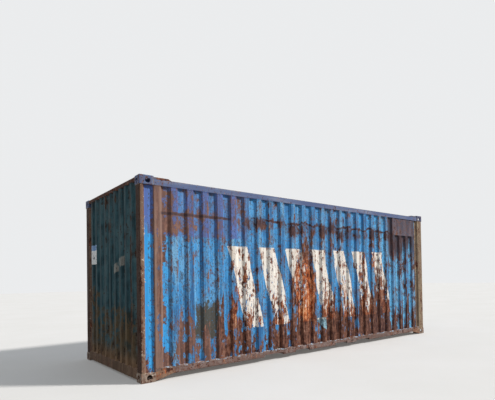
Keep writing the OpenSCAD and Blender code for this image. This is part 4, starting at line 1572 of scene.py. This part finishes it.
@dataclass
class FrameDress:
    """Gives every node of the frame its finish."""

    nodes: dict[str, bpy.types.Object]
    made: dict[str, bpy.types.Material] = field(default_factory=dict)
    dressed: set[str] = field(default_factory=set)

    def dress(self, finish: Finish, *names: str) -> None:
        """Puts one finish on several nodes.

        Args:
            finish: The finish.
            names: Names, or starts of names, of nodes.
        """
        material = finish.build()
        self.made[finish.name] = material
        for name, node in self.nodes.items():
            if name.startswith(names):
                node.data.materials.clear()
                node.data.materials.append(material)
                self.dressed.add(name)
        log.info("dressed %s with %s", ", ".join(names), material.name)

    def walls(self) -> None:
        """Dresses the walls and what lies on them."""
        self.dress(LongWallPaint(), "side_wall")
        self.dress(FrontWallPaint(), "front_wall")
        marking = SteelPaint("marking_paint", shades("3b3846", "4b4857", "6b6775"), rusted=0.28)
        self.dress(marking, "marking")

    def ends(self) -> None:
        """Dresses the posts, headers and sills."""
        laps = (
            Lap(
                Along.LENGTH, edge=2.962, depth=0.027, face=1.213, lower=srgb("3f9fe2"),
                upper=srgb("5c74b4"),
            ),
            Lap(
                Along.WIDTH, edge=1.046, depth=0.03, face=3.023, lower=srgb("3c5259"),
                upper=srgb("3c5259"),
            ),
        )
        self.dress(
            SteelPaint(
                "front_post_paint", shades("5e4d42", "836d5e", "a18d7d"), rusted=0.36,
                specular=0.04, bits=srgb("c4b5a4"), bits_share=0.04, laps=laps,
                # painted shade on the post's end face towards -X, where no sun falls
                bands=(Band(low=-3.04, high=-3.02, colour=srgb("38251f"), share=0.85),),
            ),
            "front_post",
        )
        self.dress(
            SteelPaint(
                "front_header_paint", shades("352c2a", "463a37", "5b4d49"), rusted=0.5,
                orange=0.0, specular=0.04,
            ),
            "front_header",
        )
        self.dress(
            SteelPaint(
                "front_sill_paint", shades("5c4839", "765f4d", "917a66"), rusted=0.25,
                orange=0.0, specular=0.04,
            ),
            "front_sill",
        )
        self.dress(
            SteelPaint("rear_post_paint", shades("675448", "8c7964", "a99a80"), rusted=0.3),
            "rear_post", "rear_sill",
        )

    def rails(self) -> None:
        """Dresses the rails, their gussets and the corner fittings."""
        self.dress(
            SteelPaint(
                "top_rail_paint", shades("50608a", "606f94", "8791a8"), rusted=0.18,
                run=(0.9, 12, 12),
            ),
            "top_rail", "rear_header",
        )
        self.dress(
            SteelPaint(
                "top_fitting_paint", shades("44557a", "566a90", "8490a8"), rusted=0.3,
                bands=(Band(low=2.83, high=3.04, colour=srgb("4d4356"), share=0.6),),
            ),
            "top_fitting",
        )
        self.dress(
            SteelPaint(
                "bottom_rail_paint", shades("65524c", "806c66", "9d8f8c"), rusted=0.36,
                # the pale bits along the rail's upper edge are flecks of older paint and also
                # painted highlight of its top ledge
                orange=0.1, run=(1, 12, 12), bits=srgb("9fb2c4"), bits_share=0.11,
                bits_above=0.15,
            ),
            "bottom_rail",
        )
        self.dress(
            SteelPaint(
                "gusset_paint", shades("7a5d4c", "957560", "ad917c"), rusted=0.42, orange=1.0,
                patches=(Patch(-2.68, 0.15, 0.1, 0.05, 0.2),),
            ),
            "rail_gussets",
        )
        self.dress(
            SteelPaint(
                "bottom_fitting_paint", shades("66574e", "8a7769", "b5a596"), rusted=0.35,
                bits=srgb("cfc3b5"), bits_share=0.07,
            ),
            "bottom_fitting",
        )

    def rest(self) -> None:
        """Dresses the roof, the base, the doors and their gear."""
        self.dress(
            SteelPaint(
                "roof_paint", shades("46617f", "5b7896", "8598a8"), rusted=0.46, grain=0.4,
                run=(9, 0.9, 9),
            ),
            "roof",
        )
        self.dress(
            SteelPaint(
                "door_paint", shades("35608f", "4680b2", "7aa3c4"), rusted=0.3, grain=0.8,
                foot=0.09, orange=0.3,
            ),
            "door_frame", "door_panel",
        )
        self.dress(
            SteelPaint("underbody", shades("241f1d", "322b28", "463c36"), rusted=0.6, rough=0.8),
            "cross", "fork",
        )
        self.dress(
            SteelPaint(
                "gear_steel", shades("5c6268", "798087", "9ba1a7"), rusted=0.3, rough=0.45,
                metallic=0.35,
            ),
            "hinge", "locking", "bar_", "cam_", "door_handles", "handle_",
        )
        self.dress(
            PlainGrain("seal_rubber", shades("141414", "2b2a28"), scale=(9, 9, 9), rough=0.75),
            "door_gaskets",
        )
        self.dress(
            PlainGrain("plywood", shades("5b432e", "8a6b4b"), scale=(2, 14, 30), rough=0.8),
            "floor_boards",
        )

    def build(self) -> None:
        """Dresses the whole frame.

        Raises:
            ValueError: If a node is left without a finish.
        """
        self.walls()
        self.ends()
        self.rails()
        self.rest()
        missing = sorted(set(self.nodes) - self.dressed)
        if missing:
            raise ValueError(f"nodes without a finish: {missing}")


@dataclass
class Studio:
    """Camera at the photograph's place, a pale floor and soft daylight."""

    eye: Point = (-4.909, -6.576, 1.263)
    yaw_deg: float = 43.791
    pitch_deg: float = 0.93
    roll_deg: float = -1.045
    focal_px: float = 420.797
    right_px: float = 83.97
    drop_px: float = 70.856
    image_w: int = 495
    sensor_mm: float = 36.0
    far_end: float = 200.0
    sun_from: Point = (0.68, -0.66, 0.72)
    sun_strength: float = 3.5
    fill_from: Point = (0.55, 0.7, 0.5)
    fill_strength: float = 1.0
    sun_width_deg: float = 6.0
    sun_colour: Point = (1.0, 0.97, 0.93)
    sky_colour: Colour = (0.86, 0.93, 1.0, 1.0)
    sky_strength: float = 0.42
    backdrop: Colour = (0.83, 0.84, 0.85, 1.0)
    backdrop_strength: float = 1.0
    floor_half: float = 60.0
    floor_z: float = -0.0005
    floor_tones: tuple[Colour, ...] = shades("d6d5d3", "dad9d8")
    tone_stops: Span = (0.3, 0.7)
    floor_bounce: Colour = srgb("8f8b86")
    floor_grain: Grain = Grain((0.6, 0.6, 0.6), 3)

    def camera(self) -> None:
        """Places the camera."""
        yaw, pitch, roll = (
            math.radians(a) for a in (self.yaw_deg, self.pitch_deg, self.roll_deg)
        )
        ahead = Vector(
            (math.sin(yaw) * math.cos(pitch), math.cos(yaw) * math.cos(pitch), math.sin(pitch))
        )
        right = ahead.cross(Vector((0, 0, 1))).normalized()
        up = right.cross(ahead)
        tilted_right = right * math.cos(roll) + up * math.sin(roll)
        tilted_up = up * math.cos(roll) - right * math.sin(roll)
        turn = Matrix((tilted_right, tilted_up, -ahead)).transposed().to_4x4()
        data = bpy.data.cameras.new("camera")
        data.sensor_fit = "HORIZONTAL"
        data.sensor_width = self.sensor_mm
        data.lens = self.focal_px / self.image_w * self.sensor_mm
        data.shift_x = -self.right_px / self.image_w
        data.shift_y = self.drop_px / self.image_w
        data.clip_end = self.far_end
        made = shown("camera", data)
        made.matrix_world = Matrix.Translation(self.eye) @ turn
        bpy.context.scene.camera = made

    def sun(self, name: str, strength: float, towards: Point, shadow: bool) -> None:
        """Adds one soft sun.

        Args:
            name: Name of the light.
            strength: Strength of the light.
            towards: Direction from the object to the light.
            shadow: Whether it casts shadows.
        """
        data = bpy.data.lights.new(name, "SUN")
        data.energy = strength
        data.angle = math.radians(self.sun_width_deg)
        data.color = self.sun_colour
        data.use_shadow = shadow
        shown(name, data).rotation_euler = Vector(towards).to_track_quat("Z", "Y").to_euler()

    @staticmethod
    def seen(tree: bpy.types.NodeTree) -> bpy.types.NodeSocket:
        """Tells what the camera sees from what only lights the object.

        Args:
            tree: Node tree that asks.

        Returns:
            1 for camera, glossy and transmission rays, 0 for the light's own.
        """
        paths = tree.nodes.new("ShaderNodeLightPath")
        result = paths.outputs["Is Camera Ray"]
        for kind in ("Is Glossy Ray", "Is Transmission Ray"):
            either = tree.nodes.new("ShaderNodeMath")
            either.operation = Op.MAXIMUM.value
            tree.links.new(result, either.inputs[0])
            tree.links.new(paths.outputs[kind], either.inputs[1])
            result = either.outputs[0]
        return result

    def sky(self) -> None:
        """Sets an even sky, with a pale backdrop for what the camera sees."""
        world = bpy.data.worlds.new("studio")
        bpy.context.scene.world = world
        world.use_nodes = True
        tree = world.node_tree
        tree.nodes.clear()
        mixed = tree.nodes.new("ShaderNodeMixShader")
        tree.links.new(self.seen(tree), mixed.inputs[0])
        skies = (
            (self.sky_colour, self.sky_strength), (self.backdrop, self.backdrop_strength)
        )
        for place, (colour, strength) in enumerate(skies, start=1):
            made = tree.nodes.new("ShaderNodeBackground")
            made.inputs["Color"].default_value = colour
            made.inputs["Strength"].default_value = strength
            tree.links.new(made.outputs[0], mixed.inputs[place])
        output = tree.nodes.new("ShaderNodeOutputWorld")
        tree.links.new(mixed.outputs[0], output.inputs["Surface"])

    def floor(self) -> None:
        """Lays a wide floor, pale to the camera and darker to the light it returns."""
        sheet = bmesh.new()
        bmesh.ops.create_grid(sheet, x_segments=1, y_segments=1, size=self.floor_half)
        bmesh.ops.translate(sheet, verts=sheet.verts, vec=(0, 0, self.floor_z))
        name = "studio_floor"
        bench = Bench(name)
        tone = bench.noise(self.floor_grain)
        pale = tone.ramp(*zip(self.tone_stops, self.floor_tones))
        seen = Signal(bench, self.seen(bench.tree))
        colour = bench.mix(seen, self.floor_bounce, pale)
        finish = bench.finish(colour, rough=0.9, height=tone, relief=0.0005, specular=0.1)
        made = shown(name, meshed(name, sheet, finish))

    def build(self) -> None:
        """Sets up the whole studio."""
        self.camera()
        self.sun("sun", self.sun_strength, self.sun_from, shadow=True)
        self.sun("back_fill", self.fill_strength, self.fill_from, shadow=False)
        self.sky()
        self.floor()
        bpy.context.scene.view_settings.view_transform = "Standard"
        log.info("studio ready")


def main() -> None:
    """Builds the looks of the container round its frame."""
    logging.basicConfig(level=logging.INFO, format="%(name)s: %(message)s")
    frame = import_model()
    Studio().build()
    dress = FrameDress(frame["nodes"])
    dress.build()
    WallSeams().build(dress.made["long_wall_paint"], dress.made["front_wall_paint"])
    FrameSeams().build(dress.made["rear_post_paint"])
    PanelSeams().build(dress.made["marking_paint"])
    DoorFasteners().build(dress.made["gear_steel"])
    GasketLips().build(dress.made["seal_rubber"])
    Stickers().build()


if __name__ == "__main__":
    main()
